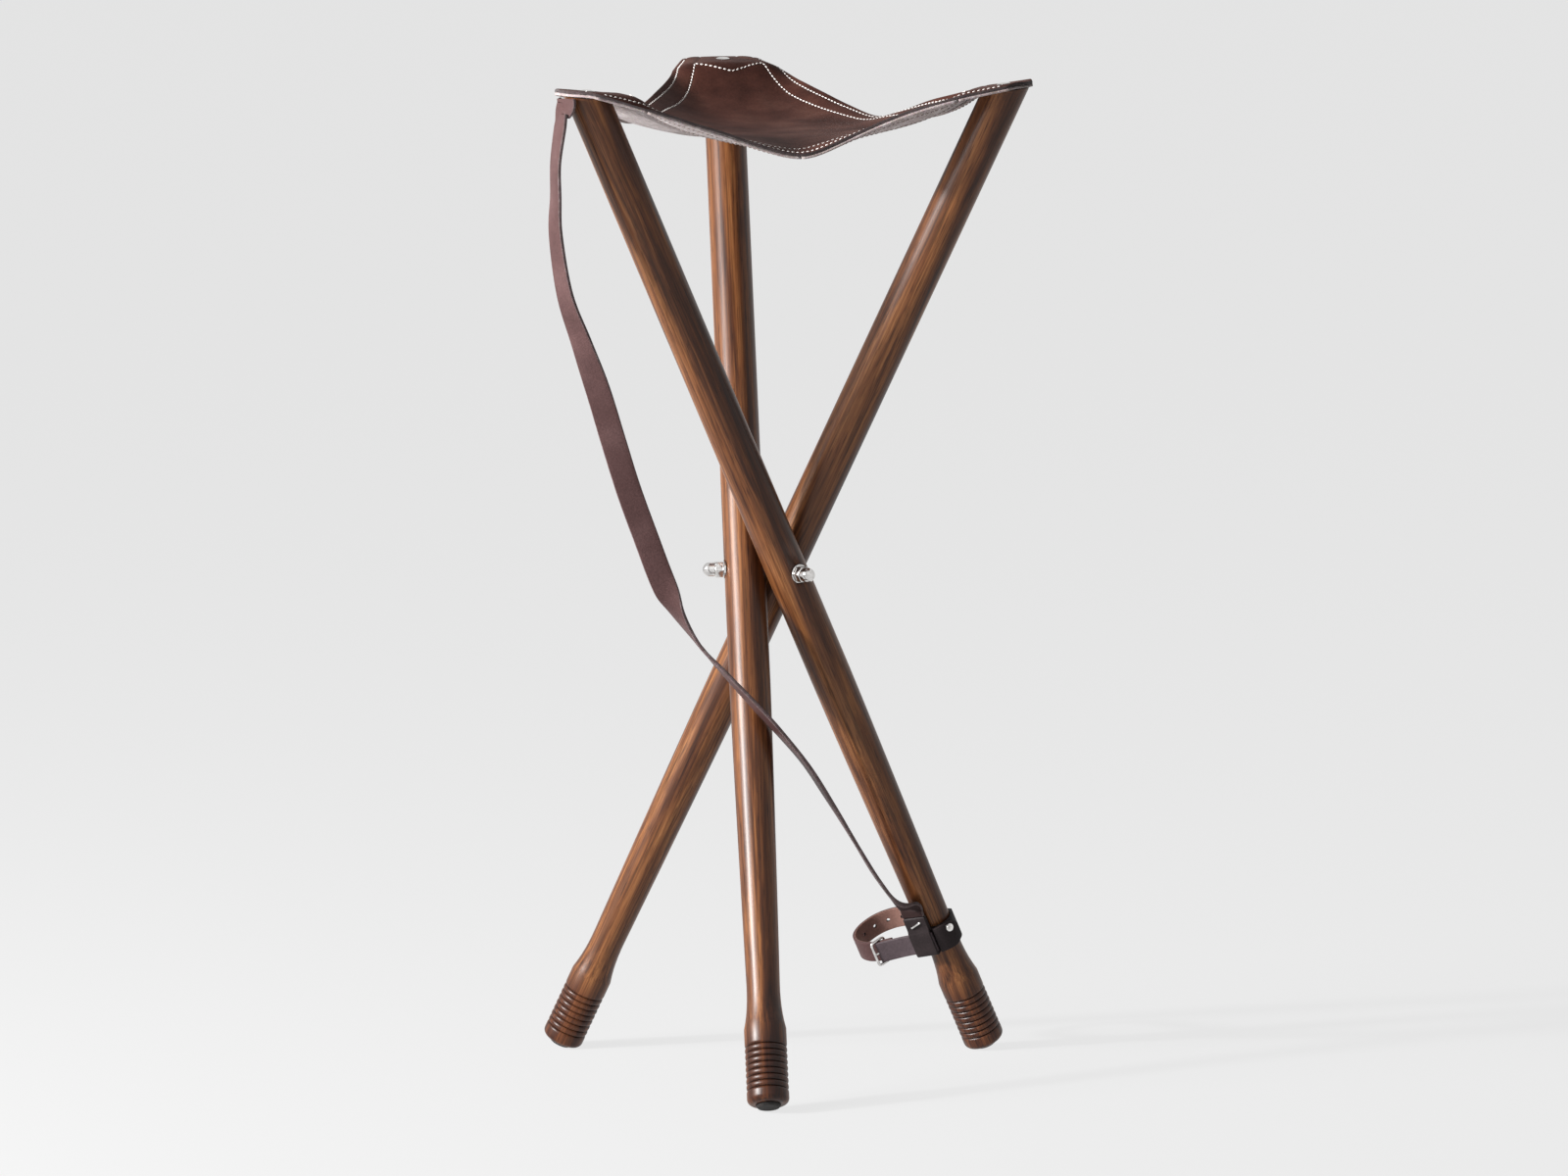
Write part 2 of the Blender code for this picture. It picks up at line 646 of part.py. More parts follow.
def make_collar():
    half = COLLAR_HEIGHT / 2
    profile = [(COLLAR_OUTER, half), (COLLAR_OUTER, -half), (COLLAR_INNER, -half), (COLLAR_INNER, half)]
    mesh_object("leg_collar", turned(profile, 32), COLLAR_LEATHER, COLLAR)
    start = COLLAR_TAIL_START - LOOP_DIRECTION
    end = COLLAR_TAIL_END - LOOP_DIRECTION
    radius = COLLAR_OUTER + GAP + COLLAR_THICKNESS / 2
    steps = 14
    rings = []
    for i in range(steps + 1):
        angle = start + (end - start) * i / steps
        left = (steps - i) * (end - start) / steps * radius
        tall = half * math.sqrt(1 - max(0.0, 1 - (left + 0.2 * half) / half) ** 2)
        ring = []
        for r, z in ((-1, -1), (1, -1), (1, 1), (-1, 1)):
            reach = radius + r * COLLAR_THICKNESS / 2
            ring.append((reach * math.cos(angle), reach * math.sin(angle), z * tall))
        rings.append(ring)
    mesh_object("collar_tail", lofted(rings), COLLAR_LEATHER, COLLAR)


def make_rivet():
    angle = RIVET_ANGLE - LOOP_DIRECTION
    out = Vector((math.cos(angle), math.sin(angle), 0))
    seat = COLLAR_OUTER + 2 * GAP + COLLAR_THICKNESS
    frame = empty(
        "rivet_frame", COLLAR, out * seat + Vector((0, 0, RIVET_LIFT)),
        Vector((0, 0, 1)).rotation_difference(out).to_matrix(),
    )
    radius = RIVET_DIAMETER / 2
    dome = [
        (radius * math.sin(math.pi / 2 * i / 5), RIVET_HEIGHT * math.cos(math.pi / 2 * i / 5))
        for i in range(6)
    ]
    mesh_object("collar_rivet", turned(dome + [(0, 0)], 20), NICKEL, frame)


def make_belt_strip(name, route, finish):
    outline = band_outline(smooth_route(route, 5), BELT_THICKNESS)
    return mesh_object(name, prism(outline, -BELT_WIDTH / 2, BELT_WIDTH / 2), finish, COLLAR)


def make_keeper():
    # Strap end folded round the belt and pressed together in a tab above it.
    lean = (FRONT_ROUTE[1] - FRONT_ROUTE[0]).angle_signed(Vector((1, 0)))
    frame = empty("keeper_frame", COLLAR, (*FRONT_ROUTE[0], 0), Matrix.Rotation(lean, 3, "Z"))
    half_tall = KEEPER_HEIGHT / 2
    deep = BELT_THICKNESS / 2 + GAP + KEEPER_WALL
    hole_tall = half_tall - KEEPER_WALL
    hole_deep = deep - KEEPER_WALL
    outer = folded_outline(deep, half_tall, 1.2 * MM)
    rings = [[(x, y, z) for y, z in outer] for x in (0, KEEPER_LENGTH)]
    sleeve = mesh_object("strap_keeper", lofted(rings), COLLAR_LEATHER, frame)
    inner = rounded_box(hole_deep, hole_tall, 0.6 * MM)
    rings = [[(x, y, z) for y, z in inner] for x in (-KEEPER_LENGTH, 2 * KEEPER_LENGTH)]
    boolean(sleeve, mesh_object("keeper_slot", lofted(rings), None, frame))
    boolean(sleeve, cylinder_tool("collar_clearance", COLLAR, 2 * (COLLAR_OUTER + GAP), -0.03, 0.03))
    return frame


def folded_outline(deep, half_tall, radius):
    pinch = deep - KEEPER_WALL
    top = half_tall + KEEPER_TAB
    side = [
        (deep, half_tall - pinch), (KEEPER_WALL, half_tall + pinch),
        (KEEPER_WALL, top - KEEPER_WALL / 2), (KEEPER_WALL / 2, top),
    ]
    outline = side + [(-y, z) for y, z in reversed(side)]
    for i, y in ((2, -1), (3, 1)):
        centre = (y * (deep - radius), radius - half_tall)
        outline += arc(centre, radius, math.pi / 2 * i, math.pi / 2 * (i + 1), 3)
    return outline


def rounded_box(half_wide, half_tall, radius):
    outline = []
    for i, (x, y) in enumerate(((1, 1), (-1, 1), (-1, -1), (1, -1))):
        centre = (x * (half_wide - radius), y * (half_tall - radius))
        outline += arc(centre, radius, math.pi / 2 * i, math.pi / 2 * (i + 1), 3)
    return outline


def wire_object(name, points, diameter, finish, parent, cyclic=False):
    curve = bpy.data.curves.new(name, "CURVE")
    curve.dimensions = "3D"
    curve.bevel_depth = diameter / 2
    curve.bevel_resolution = 2
    curve.use_fill_caps = not cyclic
    spline = curve.splines.new("POLY")
    spline.points.add(len(points) - 1)
    for place, point in zip(spline.points, points):
        place.co = (*point, 1)
    spline.use_cyclic_u = cyclic
    made = bpy.data.objects.new(name, curve)
    bpy.context.collection.objects.link(made)
    made.parent = parent
    curve.materials.append(finish)
    return made


def make_staple(frame):
    height = KEEPER_WALL + GAP + STAPLE_WIRE / 2
    middle = Vector((KEEPER_LENGTH / 2, height, KEEPER_HEIGHT / 2 + KEEPER_TAB / 2))
    run = Vector((-math.cos(STAPLE_TILT), 0, math.sin(STAPLE_TILT))) * STAPLE_LENGTH / 2
    points = [middle + run * t for t in (-1, -0.5, 0, 0.5, 1)]
    wire_object("keeper_staple", points, STAPLE_WIRE, NICKEL, frame)


def make_buckle(belts):
    front = smooth_route(FRONT_ROUTE, 5)[-1]
    half = BELT_WIDTH / 2 + GAP + BUCKLE_WIRE / 2
    outer = front + Vector((1.4, 2.9)) * MM
    inner = front + Vector((-3.4, -6.4)) * MM
    across = outer - inner
    corner = 1.4 * MM
    loop = []
    for u, v in rounded_box(across.length / 2, half, corner):
        flat = (outer + inner) / 2 + across.normalized() * u
        loop.append(Vector((flat.x, flat.y, v)))
    wire_object("buckle_frame", loop, BUCKLE_WIRE, NICKEL, COLLAR, cyclic=True)
    trim = across.normalized() * (BUCKLE_WIRE / 2 + GAP)
    ends = [Vector((*(inner + trim), 0)), Vector((*(outer - trim), 0))]
    wire_object("buckle_prong", ends, PRONG_DIAMETER, NICKEL, COLLAR)
    hole = cylinder_tool(
        "prong_hole", COLLAR, PRONG_DIAMETER + 2 * GAP, -across.length, across.length,
        (*across.normalized(), 0), (*((outer + inner) / 2), 0),
    )
    for belt in belts:
        boolean(belt, hole)


# Carrying strap: hand-chosen places and facings in millimetres around the hub's foot point
STRAP_ROUTE = [
    ((-145.5, -102, 646), (-0.93, -0.36, 0)),
    ((-147, -104, 637), (-0.95, -0.31, 0)),
    ((-150, -104, 614), (-0.97, -0.25, 0)),
    ((-150, -104, 592), (-0.96, -0.27, 0)),
    ((-150, -103, 567), (-0.92, -0.39, 0)),
    ((-144, -101, 528), (-0.85, -0.52, 0)),
    ((-133, -98, 496), (-0.69, -0.72, 0)),
    ((-122, -96, 464), (-0.34, -0.94, 0)),
    ((-112, -93, 431), (-0.14, -0.99, 0)),
    ((-102, -90, 399), (-0.1, -1, 0)),
    ((-90, -86, 366), (-0.1, -1, 0)),
    ((-79, -82, 337), (-0.19, -0.98, -0.05)),
    ((-69, -78, 316), (-0.77, -0.41, -0.49)),
    ((-55, -74, 295), (-0.8, -0.02, -0.6)),
    ((-39, -73, 277), (-0.78, -0.13, -0.61)),
    ((-20, -70, 256), (-0.75, -0.23, -0.62)),
    ((-3, -66, 237), (-0.75, -0.23, -0.62)),
    ((18, -52, 211), (-0.82, -0.17, -0.55)),
    ((36, -32, 183), (-0.85, -0.12, -0.51)),
    ((55, -9, 152), (-0.86, -0.02, -0.5)),
    ((71, 8, 126), (-0.86, -0.07, -0.5)),
    ((84, 22, 109), (-0.84, -0.2, -0.5)),
]


def from_collar(point):
    local = Matrix.Rotation(LOOP_DIRECTION, 3, "Z") @ Vector(point)
    local.z -= COLLAR_BELOW_HUB
    place = leg_rotation("right") @ local + arm_direction("right") * ARM_REACH
    return place + Vector((0, 0, HUB_HEIGHT))


def strap_stations():
    out = Matrix.Rotation(corner_angle("right"), 3, "Z") @ Vector((1, 0, 0))
    reach = TOP_RADIUS + LEG_REACH + GAP + STRAP_THICKNESS / 2
    top = out * reach + Vector((0, 0, TOP_HEIGHT + leg_top_plane("right", reach) - 3 * GAP))
    stations = [(top, out), (top - Vector((0, 0, STRAP_WIDTH / 4)), out)]
    stations += [(Vector(place) * MM, Vector(facing)) for place, facing in STRAP_ROUTE]
    middle = FRONT_ROUTE[0] + (FRONT_ROUTE[1] - FRONT_ROUTE[0]).normalized() * KEEPER_LENGTH / 2
    facing = from_collar((0, 1, 0)) - from_collar((0, 0, 0))
    for above in (KEEPER_LENGTH / 2, KEEPER_LENGTH / 4, GAP):
        stations.append((from_collar((*middle, KEEPER_HEIGHT / 2 + KEEPER_TAB + above)), facing))
    return stations


def make_strap():
    stations = strap_stations()
    route = smooth_route([place for place, _ in stations], 3)
    facings = smooth_route([facing for _, facing in stations], 3)
    half_wide, half_thick = STRAP_WIDTH / 2, STRAP_THICKNESS / 2
    rings = []
    for i, point in enumerate(route):
        ahead = (route[min(i + 1, len(route) - 1)] - route[max(i - 1, 0)]).normalized()
        out = (facings[i] - ahead * facings[i].dot(ahead)).normalized()
        side = ahead.cross(out)
        corners = ((1, 1), (-1, 1), (-1, -1), (1, -1))
        rings.append([point + side * half_wide * x + out * half_thick * y for x, y in corners])
    mesh_object("carry_strap", lofted(rings), STRAP_LEATHER, STOOL)


def build():
    arm_frames = {leg: arm_frame(leg) for leg in ARM_ANGLES}
    make_star(arm_frames)
    panel = make_seat_panel()
    legs = list(ARM_ANGLES)
    for leg, frame in arm_frames.items():
        make_leg(leg)
        make_foot_plug(leg)
        make_washer(leg, frame)
        make_cap_nut(leg, frame)
        make_seat_fixing(leg, (panel, make_corner_patch(leg)))
    make_edge_band("edge_band_front", "right", "left")
    make_edge_band("edge_band_right", "left", "front")
    make_edge_band("edge_band_left", "front", "right")
    make_collar()
    make_rivet()
    short = make_belt_strip("belt_buckle_end", FRONT_ROUTE, COLLAR_LEATHER)
    long = make_belt_strip("belt_tip_end", BACK_ROUTE, STRAP_LEATHER)
    make_staple(make_keeper())
    make_buckle((short, long))
    make_strap()


build()
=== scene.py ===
# Folding tripod stool: looks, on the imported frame
import math
import bmesh
import bpy
from mathutils import Matrix, Vector, noise


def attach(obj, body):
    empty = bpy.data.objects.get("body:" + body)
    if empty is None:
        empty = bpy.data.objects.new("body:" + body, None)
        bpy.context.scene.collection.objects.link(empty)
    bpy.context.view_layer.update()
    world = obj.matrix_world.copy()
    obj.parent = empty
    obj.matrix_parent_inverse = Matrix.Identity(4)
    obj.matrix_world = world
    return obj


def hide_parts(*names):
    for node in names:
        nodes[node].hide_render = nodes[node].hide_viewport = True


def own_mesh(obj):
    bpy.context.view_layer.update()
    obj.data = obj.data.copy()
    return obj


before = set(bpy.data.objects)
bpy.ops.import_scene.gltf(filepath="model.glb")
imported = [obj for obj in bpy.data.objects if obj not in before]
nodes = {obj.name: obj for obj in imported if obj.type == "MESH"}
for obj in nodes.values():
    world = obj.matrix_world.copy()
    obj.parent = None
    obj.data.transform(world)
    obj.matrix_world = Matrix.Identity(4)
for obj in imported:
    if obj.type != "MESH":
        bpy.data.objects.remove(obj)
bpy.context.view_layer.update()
mm = 0.001
print("frame loaded:", len(nodes), "nodes")

# Stance of the stool, the same values as in the part's source
stance = {
    "splay": math.radians(26.36), "armReach": 17.7 * mm, "hubToTop": 357.5 * mm, "hubToFoot": 367.8 * mm,
    "topSlope": {"front": math.radians(1.5), "right": math.radians(5.0), "left": math.radians(8.5)},
    "hub": Vector((-8.111, -1.332, 334.636)) * mm,
    "arms": {"front": 180.0, "right": 300.0, "left": 60.0}, "legRadius": 13.6 * mm,
}
hub = stance["hub"]
axisFoot = Vector((hub.x, hub.y, 0))
legNames = list(stance["arms"])
topRadius = math.hypot(stance["armReach"], stance["hubToTop"] * math.sin(stance["splay"]))
topLead = math.atan2(stance["armReach"], stance["hubToTop"] * math.sin(stance["splay"]))
topHeight = hub.z + stance["hubToTop"] * math.cos(stance["splay"])
legReach = stance["legRadius"] / math.cos(stance["splay"] + max(stance["topSlope"].values()))


def armWay(leg):
    angle = math.radians(stance["arms"][leg])
    return Vector((math.cos(angle), math.sin(angle), 0))


def cornerAngle(leg):
    return math.radians(stance["arms"][leg]) - math.pi / 2 + topLead


def topPlane(leg, radius):
    return (radius - topRadius) * math.tan(stance["topSlope"][leg])


def cornerWay(leg):
    return Vector((math.cos(cornerAngle(leg)), math.sin(cornerAngle(leg)), 0))


def legFrame(leg):
    # X outwards, Y along the bolt arm, Z up the leg
    turn = math.radians(stance["arms"][leg]) - math.pi / 2
    place = Matrix.Translation(hub + armWay(leg) * stance["armReach"])
    return place @ Matrix.Rotation(turn, 4, "Z") @ Matrix.Rotation(stance["splay"], 4, "Y")


# Small helpers
def linear(hexColour, alpha=1.0):
    parts = [int(hexColour[i:i + 2], 16) / 255 for i in (1, 3, 5)]
    return tuple(p / 12.92 if p <= 0.04045 else ((p + 0.055) / 1.055) ** 2.4 for p in parts) + (alpha,)


def newMaterial(name):
    made = bpy.data.materials.new(name)
    made.use_nodes = True
    tree = made.node_tree
    return made, tree, tree.nodes["Principled BSDF"]


def addNode(tree, kind, sockets=None, stops=None, **settings):
    made = tree.nodes.new(kind)
    for name, value in settings.items():
        setattr(made, name, value)
    for i, (place, colour) in enumerate(stops or []):
        ramp = made.color_ramp.elements
        point = ramp[i] if i < 2 else ramp.new(place)
        point.position = place
        point.color = colour
    for name, value in (sockets or {}).items():
        if isinstance(value, bpy.types.NodeSocket):
            tree.links.new(value, made.inputs[name])
        else:
            made.inputs[name].default_value = value
    return made


def place(name, bm, *finishes, smooth=True, sharp=None):
    mesh = bpy.data.meshes.new(name)
    bm.to_mesh(mesh)
    bm.free()
    if smooth:
        mesh.shade_smooth()
    if sharp is not None:
        mesh.set_sharp_from_angle(angle=math.radians(sharp))
    made = bpy.data.objects.new(name, mesh)
    bpy.context.scene.collection.objects.link(made)
    for finish in finishes:
        mesh.materials.append(finish)
    return made


def settle(obj):
    # modifiers become the mesh
    graph = bpy.context.evaluated_depsgraph_get()
    mesh = bpy.data.meshes.new_from_object(obj.evaluated_get(graph))
    obj.modifiers.clear()
    obj.data = mesh
    return obj


def smoothRoute(points, perSpan):
    ends = [points[0] * 2 - points[1], *points, points[-1] * 2 - points[-2]]
    route = []
    for a, b, c, d in zip(ends, ends[1:], ends[2:], ends[3:]):
        for i in range(perSpan):
            t = i / perSpan
            route.append(0.5 * (2 * b + (c - a) * t + (2 * a - 5 * b + 4 * c - d) * t**2
                                + (3 * b - a - 3 * c + d) * t**3))
    return [*route, points[-1].copy()]


def stripProfile(width, thick, round_, crown=0.0, perCorner=4):
    # rounded strip section, X across and Y through the thickness
    outline = []
    for i, (x, y) in enumerate(((1, 1), (-1, 1), (-1, -1), (1, -1))):
        for k in range(perCorner + 1):
            a = math.pi / 2 * (i + k / perCorner)
            px = x * (width / 2 - round_) + round_ * math.cos(a)
            py = y * (thick / 2 - round_) + round_ * math.sin(a)
            outline.append((px, py + crown * (1 - (2 * px / width) ** 2)))
        steps = 5 if i in (0, 2) else 0  # points along the two faces
        for k in range(1, steps):
            px = x * (width / 2 - round_) * (1 - 2 * k / steps)
            outline.append((px, y * thick / 2 + crown * (1 - (2 * px / width) ** 2)))
    return outline


def roundProfile(radius, count=12):
    return [(radius * math.cos(2 * math.pi * i / count), radius * math.sin(2 * math.pi * i / count))
            for i in range(count)]


def runFrames(route, facings, widths=None):
    # one frame for each station: X across, Y outwards, Z ahead
    frames = []
    for i, point in enumerate(route):
        ahead = (route[min(i + 1, len(route) - 1)] - route[max(i - 1, 0)]).normalized()
        out = (facings[i] - ahead * facings[i].dot(ahead)).normalized()
        side = out.cross(ahead)
        turn = Matrix((side, out, ahead)).transposed().to_4x4()
        wide = Matrix.Diagonal((widths[i] if widths else 1, 1, 1, 1))
        frames.append(Matrix.Translation(point) @ turn @ wide)
    return frames


def extrudeAlong(bm, outline, frames, closed=False):
    # a section carried along its frames; "lie" keeps across, along and through in millimetres
    lie = bm.verts.layers.float_vector.get("lie") or bm.verts.layers.float_vector.new("lie")
    ring = [bm.verts.new(frames[0] @ Vector((x, y, 0))) for x, y in outline]
    edges = [bm.edges.new(pair) for pair in zip(ring, ring[1:] + ring[:1])]
    first = list(edges)
    for vert, (x, y) in zip(ring, outline):
        vert[lie] = (x / mm, 0, y / mm)
    along = 0.0
    for before, after in zip(frames, frames[1:]):
        grown = bmesh.ops.extrude_edge_only(bm, edges=edges)["geom"]
        fresh = [g for g in grown if isinstance(g, bmesh.types.BMVert)]
        edges = [g for g in grown if isinstance(g, bmesh.types.BMEdge)]
        along += (after.translation - before.translation).length
        back = before.inverted()
        for vert in fresh:
            local = back @ vert.co
            vert[lie] = (local.x / mm, along / mm, local.y / mm)
        bmesh.ops.transform(bm, matrix=after @ back, verts=fresh)
    if closed:
        bmesh.ops.remove_doubles(bm, verts=bm.verts, dist=1e-6)
    else:
        bmesh.ops.edgeloop_fill(bm, edges=first)
        bmesh.ops.edgeloop_fill(bm, edges=edges)
    bmesh.ops.recalc_face_normals(bm, faces=bm.faces)
    return bm


def spun(profile, steps):
    bm = bmesh.new()
    points = [bm.verts.new((r, 0, z)) for r, z in profile]
    edges = [bm.edges.new(pair) for pair in zip(points, points[1:])]
    bmesh.ops.spin(bm, geom=points + edges, axis=(0, 0, 1), cent=(0, 0, 0),
                   angle=2 * math.pi, steps=steps, use_merge=True)
    bmesh.ops.remove_doubles(bm, verts=bm.verts, dist=1e-7)
    bmesh.ops.recalc_face_normals(bm, faces=bm.faces)
    return bm


# Camera, at the photograph's place
viewpoint = {"back": 7.0, "up": 0.897384, "turn": -5.465, "tilt": 7.4103, "lens": 245.46,
             "shiftX": 0.0079, "shiftY": 0.0002}
cameraData = bpy.data.cameras.new("photoCamera")
cameraData.sensor_width = 36
cameraData.lens = viewpoint["lens"]
cameraData.shift_x = viewpoint["shiftX"]
cameraData.shift_y = viewpoint["shiftY"]
cameraData.clip_end = 60
camera = bpy.data.objects.new("photoCamera", cameraData)
bpy.context.scene.collection.objects.link(camera)
around = Matrix.Rotation(math.radians(viewpoint["turn"]), 4, "Z")
camera.matrix_world = (
    Matrix.Translation(hub + around @ Vector((0, -viewpoint["back"], viewpoint["up"])))
    @ around @ Matrix.Rotation(math.radians(90 - viewpoint["tilt"]), 4, "X")
)
bpy.context.scene.camera = camera
print("camera placed")


# Materials
# Walnut, turned and varnished: long dark streaks on red-brown, a clear satin coat on top
def walnutFinish():
    made, tree, shader = newMaterial("varnishedWalnut")
    grain = addNode(tree, "ShaderNodeAttribute", attribute_name="grain")  # leg's own millimetres
    bands = addNode(tree, "ShaderNodeMapping", {"Vector": grain.outputs["Vector"], "Scale": (1 / 9, 1 / 9, 1 / 170)})
    figure = addNode(tree, "ShaderNodeTexNoise", {"Vector": bands.outputs[0], "Scale": 1.0, "Detail": 5.0,
                                                 "Roughness": 0.6, "Distortion": 0.9})
    lines = addNode(tree, "ShaderNodeMapping", {"Vector": grain.outputs["Vector"], "Scale": (1 / 1.2, 1 / 1.2, 1 / 70)})
    streak = addNode(tree, "ShaderNodeTexNoise", {"Vector": lines.outputs[0], "Scale": 1.0, "Detail": 4.0,
                                                  "Roughness": 0.6, "Distortion": 0.25})
    flecks = addNode(tree, "ShaderNodeMapping", {"Vector": grain.outputs["Vector"], "Scale": (1 / 0.8, 1 / 0.8, 1 / 16)})
    pore = addNode(tree, "ShaderNodeTexNoise", {"Vector": flecks.outputs[0], "Scale": 1.0, "Detail": 2.0})
    ground = addNode(tree, "ShaderNodeValToRGB", {"Fac": figure.outputs["Fac"]}, stops=[
        (0.28, linear("#32190e")), (0.42, linear("#53301b")), (0.53, linear("#734829")), (0.62, linear("#8b5c36")),
        (0.76, linear("#492b19"))])
    dark = addNode(tree, "ShaderNodeValToRGB", {"Fac": streak.outputs["Fac"]}, stops=[
        (0.36, linear("#3a241b")), (0.48, linear("#b89a88")), (0.60, linear("#ffffff"))])
    streaked = addNode(tree, "ShaderNodeMix", {0: 0.55, 6: ground.outputs[0], 7: dark.outputs[0]},
                       data_type="RGBA", blend_type="MULTIPLY")
    dots = addNode(tree, "ShaderNodeValToRGB", {"Fac": pore.outputs["Fac"]}, stops=[
        (0.32, linear("#5a463c")), (0.42, linear("#ffffff"))])
    pored = addNode(tree, "ShaderNodeMix", {0: 0.6, 6: streaked.outputs[2], 7: dots.outputs[0]},
                    data_type="RGBA", blend_type="MULTIPLY")
    # the grooved feet took the stain darker and redder
    apart = addNode(tree, "ShaderNodeSeparateXYZ", {"Vector": grain.outputs["Vector"]})
    footShare = addNode(tree, "ShaderNodeMapRange", {"Value": apart.outputs["Z"], "From Min": -316.0,
                                                     "From Max": -330.0, "To Min": 0.0, "To Max": 1.0})
    stained = addNode(tree, "ShaderNodeMix", {0: footShare.outputs[0], 6: pored.outputs[2], 7: (0.56, 0.45, 0.43, 1)},
                      data_type="RGBA", blend_type="MULTIPLY")
    grooveShadeMask = addNode(tree, "ShaderNodeAttribute", attribute_name="hollow")  # painted shade: darker the deeper a point lies in the turned grooves
    grooveShaded = addNode(tree, "ShaderNodeMix", {0: grooveShadeMask.outputs["Fac"], 6: stained.outputs[2], 7: linear("#20120e")},
                    data_type="RGBA")
    tree.links.new(grooveShaded.outputs[2], shader.inputs["Base Color"])
    rough = addNode(tree, "ShaderNodeMapRange", {"Value": streak.outputs["Fac"], "To Min": 0.5, "To Max": 0.4})
    tree.links.new(rough.outputs[0], shader.inputs["Roughness"])
    relief = addNode(tree, "ShaderNodeBump", {"Height": pore.outputs["Fac"], "Strength": 0.12, "Distance": 0.0004})
    tree.links.new(relief.outputs[0], shader.inputs["Normal"])
    shader.inputs["Specular IOR Level"].default_value = 0.1
    shader.inputs["Coat Weight"].default_value = 0.42
    shader.inputs["Coat Roughness"].default_value = 0.33
    return made


# Smooth chrome-tanned leather: fine pebble, soft sheen, paler where it is stretched and rubbed
def grainLeather(name, body, rubbed, shade, rough, pebble=1.5, shine=0.17):
    made, tree, shader = newMaterial(name)
    spot = addNode(tree, "ShaderNodeTexCoord")
    cloud = addNode(tree, "ShaderNodeTexNoise", {"Vector": spot.outputs["Object"], "Scale": 1 / 0.03, "Detail": 5.0})
    # real pebbles are about 0.6 mm, drawn larger so that they show
    cells = addNode(tree, "ShaderNodeTexVoronoi", {"Vector": spot.outputs["Object"], "Scale": 1 / (pebble * mm),
                                                   "Randomness": 1.0}, feature="SMOOTH_F1")
    tone = addNode(tree, "ShaderNodeValToRGB", {"Fac": cloud.outputs["Fac"]}, stops=[
        (0.30, linear(shade)), (0.50, linear(body)), (0.74, linear(rubbed))])
    fine = addNode(tree, "ShaderNodeMapRange", {"Value": cells.outputs["Distance"], "From Max": 0.7,
                                                "To Min": 1.06, "To Max": 0.82})
    toned = addNode(tree, "ShaderNodeMix", {0: 1.0, 6: tone.outputs[0], 7: fine.outputs[0]},
                    data_type="RGBA", blend_type="MULTIPLY")
    lie = addNode(tree, "ShaderNodeAttribute", attribute_name="lie")  # millimetres along a strip
    apart = addNode(tree, "ShaderNodeSeparateXYZ", {"Vector": lie.outputs["Vector"]})
    # darker over a strip's end beyond 590 mm along it, down to 0.35 at 650 mm
    endDarkening = addNode(tree, "ShaderNodeMapRange", {"Value": apart.outputs["Y"], "From Min": 590.0,
                                                   "From Max": 650.0, "To Min": 1.0, "To Max": 0.35})
    endDarkened = addNode(tree, "ShaderNodeMix", {0: 1.0, 6: toned.outputs[2], 7: endDarkening.outputs[0]},
                     data_type="RGBA", blend_type="MULTIPLY")
    tree.links.new(endDarkened.outputs[2], shader.inputs["Base Color"])
    gloss = addNode(tree, "ShaderNodeMapRange", {"Value": cloud.outputs["Fac"], "To Min": rough + 0.1,
                                                 "To Max": rough - 0.1})
    tree.links.new(gloss.outputs[0], shader.inputs["Roughness"])
    relief = addNode(tree, "ShaderNodeBump", {"Height": cells.outputs["Distance"], "Strength": 0.25,
                                              "Distance": 0.0003}, invert=True)
    tree.links.new(relief.outputs[0], shader.inputs["Normal"])
    shader.inputs["Specular IOR Level"].default_value = shine
    return made


# Suede, the flesh side: brushed nap, no gloss, cloudy grey-beige
def suedeFinish(name, body, pale, deep):
    made, tree, shader = newMaterial(name)
    spot = addNode(tree, "ShaderNodeTexCoord")
    nap = addNode(tree, "ShaderNodeTexNoise", {"Vector": spot.outputs["Object"], "Scale": 1 / 0.006, "Detail": 8.0,
                                               "Roughness": 0.75})
    fibre = addNode(tree, "ShaderNodeTexNoise", {"Vector": spot.outputs["Object"], "Scale": 1 / 0.0011, "Detail": 3.0})
    tone = addNode(tree, "ShaderNodeValToRGB", {"Fac": nap.outputs["Fac"]}, stops=[
        (0.30, linear(deep)), (0.50, linear(body)), (0.70, linear(pale))])
    flecked = addNode(tree, "ShaderNodeMix", {0: 0.35, 6: tone.outputs[0], 7: fibre.outputs["Color"]},
                      data_type="RGBA", blend_type="SOFT_LIGHT")
    tree.links.new(flecked.outputs[2], shader.inputs["Base Color"])
    relief = addNode(tree, "ShaderNodeBump", {"Height": fibre.outputs["Fac"], "Strength": 0.5, "Distance": 0.0005})
    tree.links.new(relief.outputs[0], shader.inputs["Normal"])
    shader.inputs["Roughness"].default_value = 0.95
    shader.inputs["Specular IOR Level"].default_value = 0.15
    shader.inputs["Sheen Weight"].default_value = 0.25
    shader.inputs["Sheen Roughness"].default_value = 0.6
    return made


# Bright nickel plate: near mirror with faint polishing swirls
def platedFinish(name, colour, rough):
    made, tree, shader = newMaterial(name)
    spot = addNode(tree, "ShaderNodeTexCoord")
    haze = addNode(tree, "ShaderNodeTexNoise", {"Vector": spot.outputs["Object"], "Scale": 1 / 0.004, "Detail": 6.0})
    gloss = addNode(tree, "ShaderNodeMapRange", {"Value": haze.outputs["Fac"], "To Min": rough * 0.6,
                                                 "To Max": rough * 1.6})
    tree.links.new(gloss.outputs[0], shader.inputs["Roughness"])
    tint = addNode(tree, "ShaderNodeValToRGB", {"Fac": haze.outputs["Fac"]}, stops=[
        (0.3, linear(colour)), (0.7, linear("#f2f0ee"))])
    tree.links.new(tint.outputs[0], shader.inputs["Base Color"])
    shader.inputs["Metallic"].default_value = 1.0
    return made


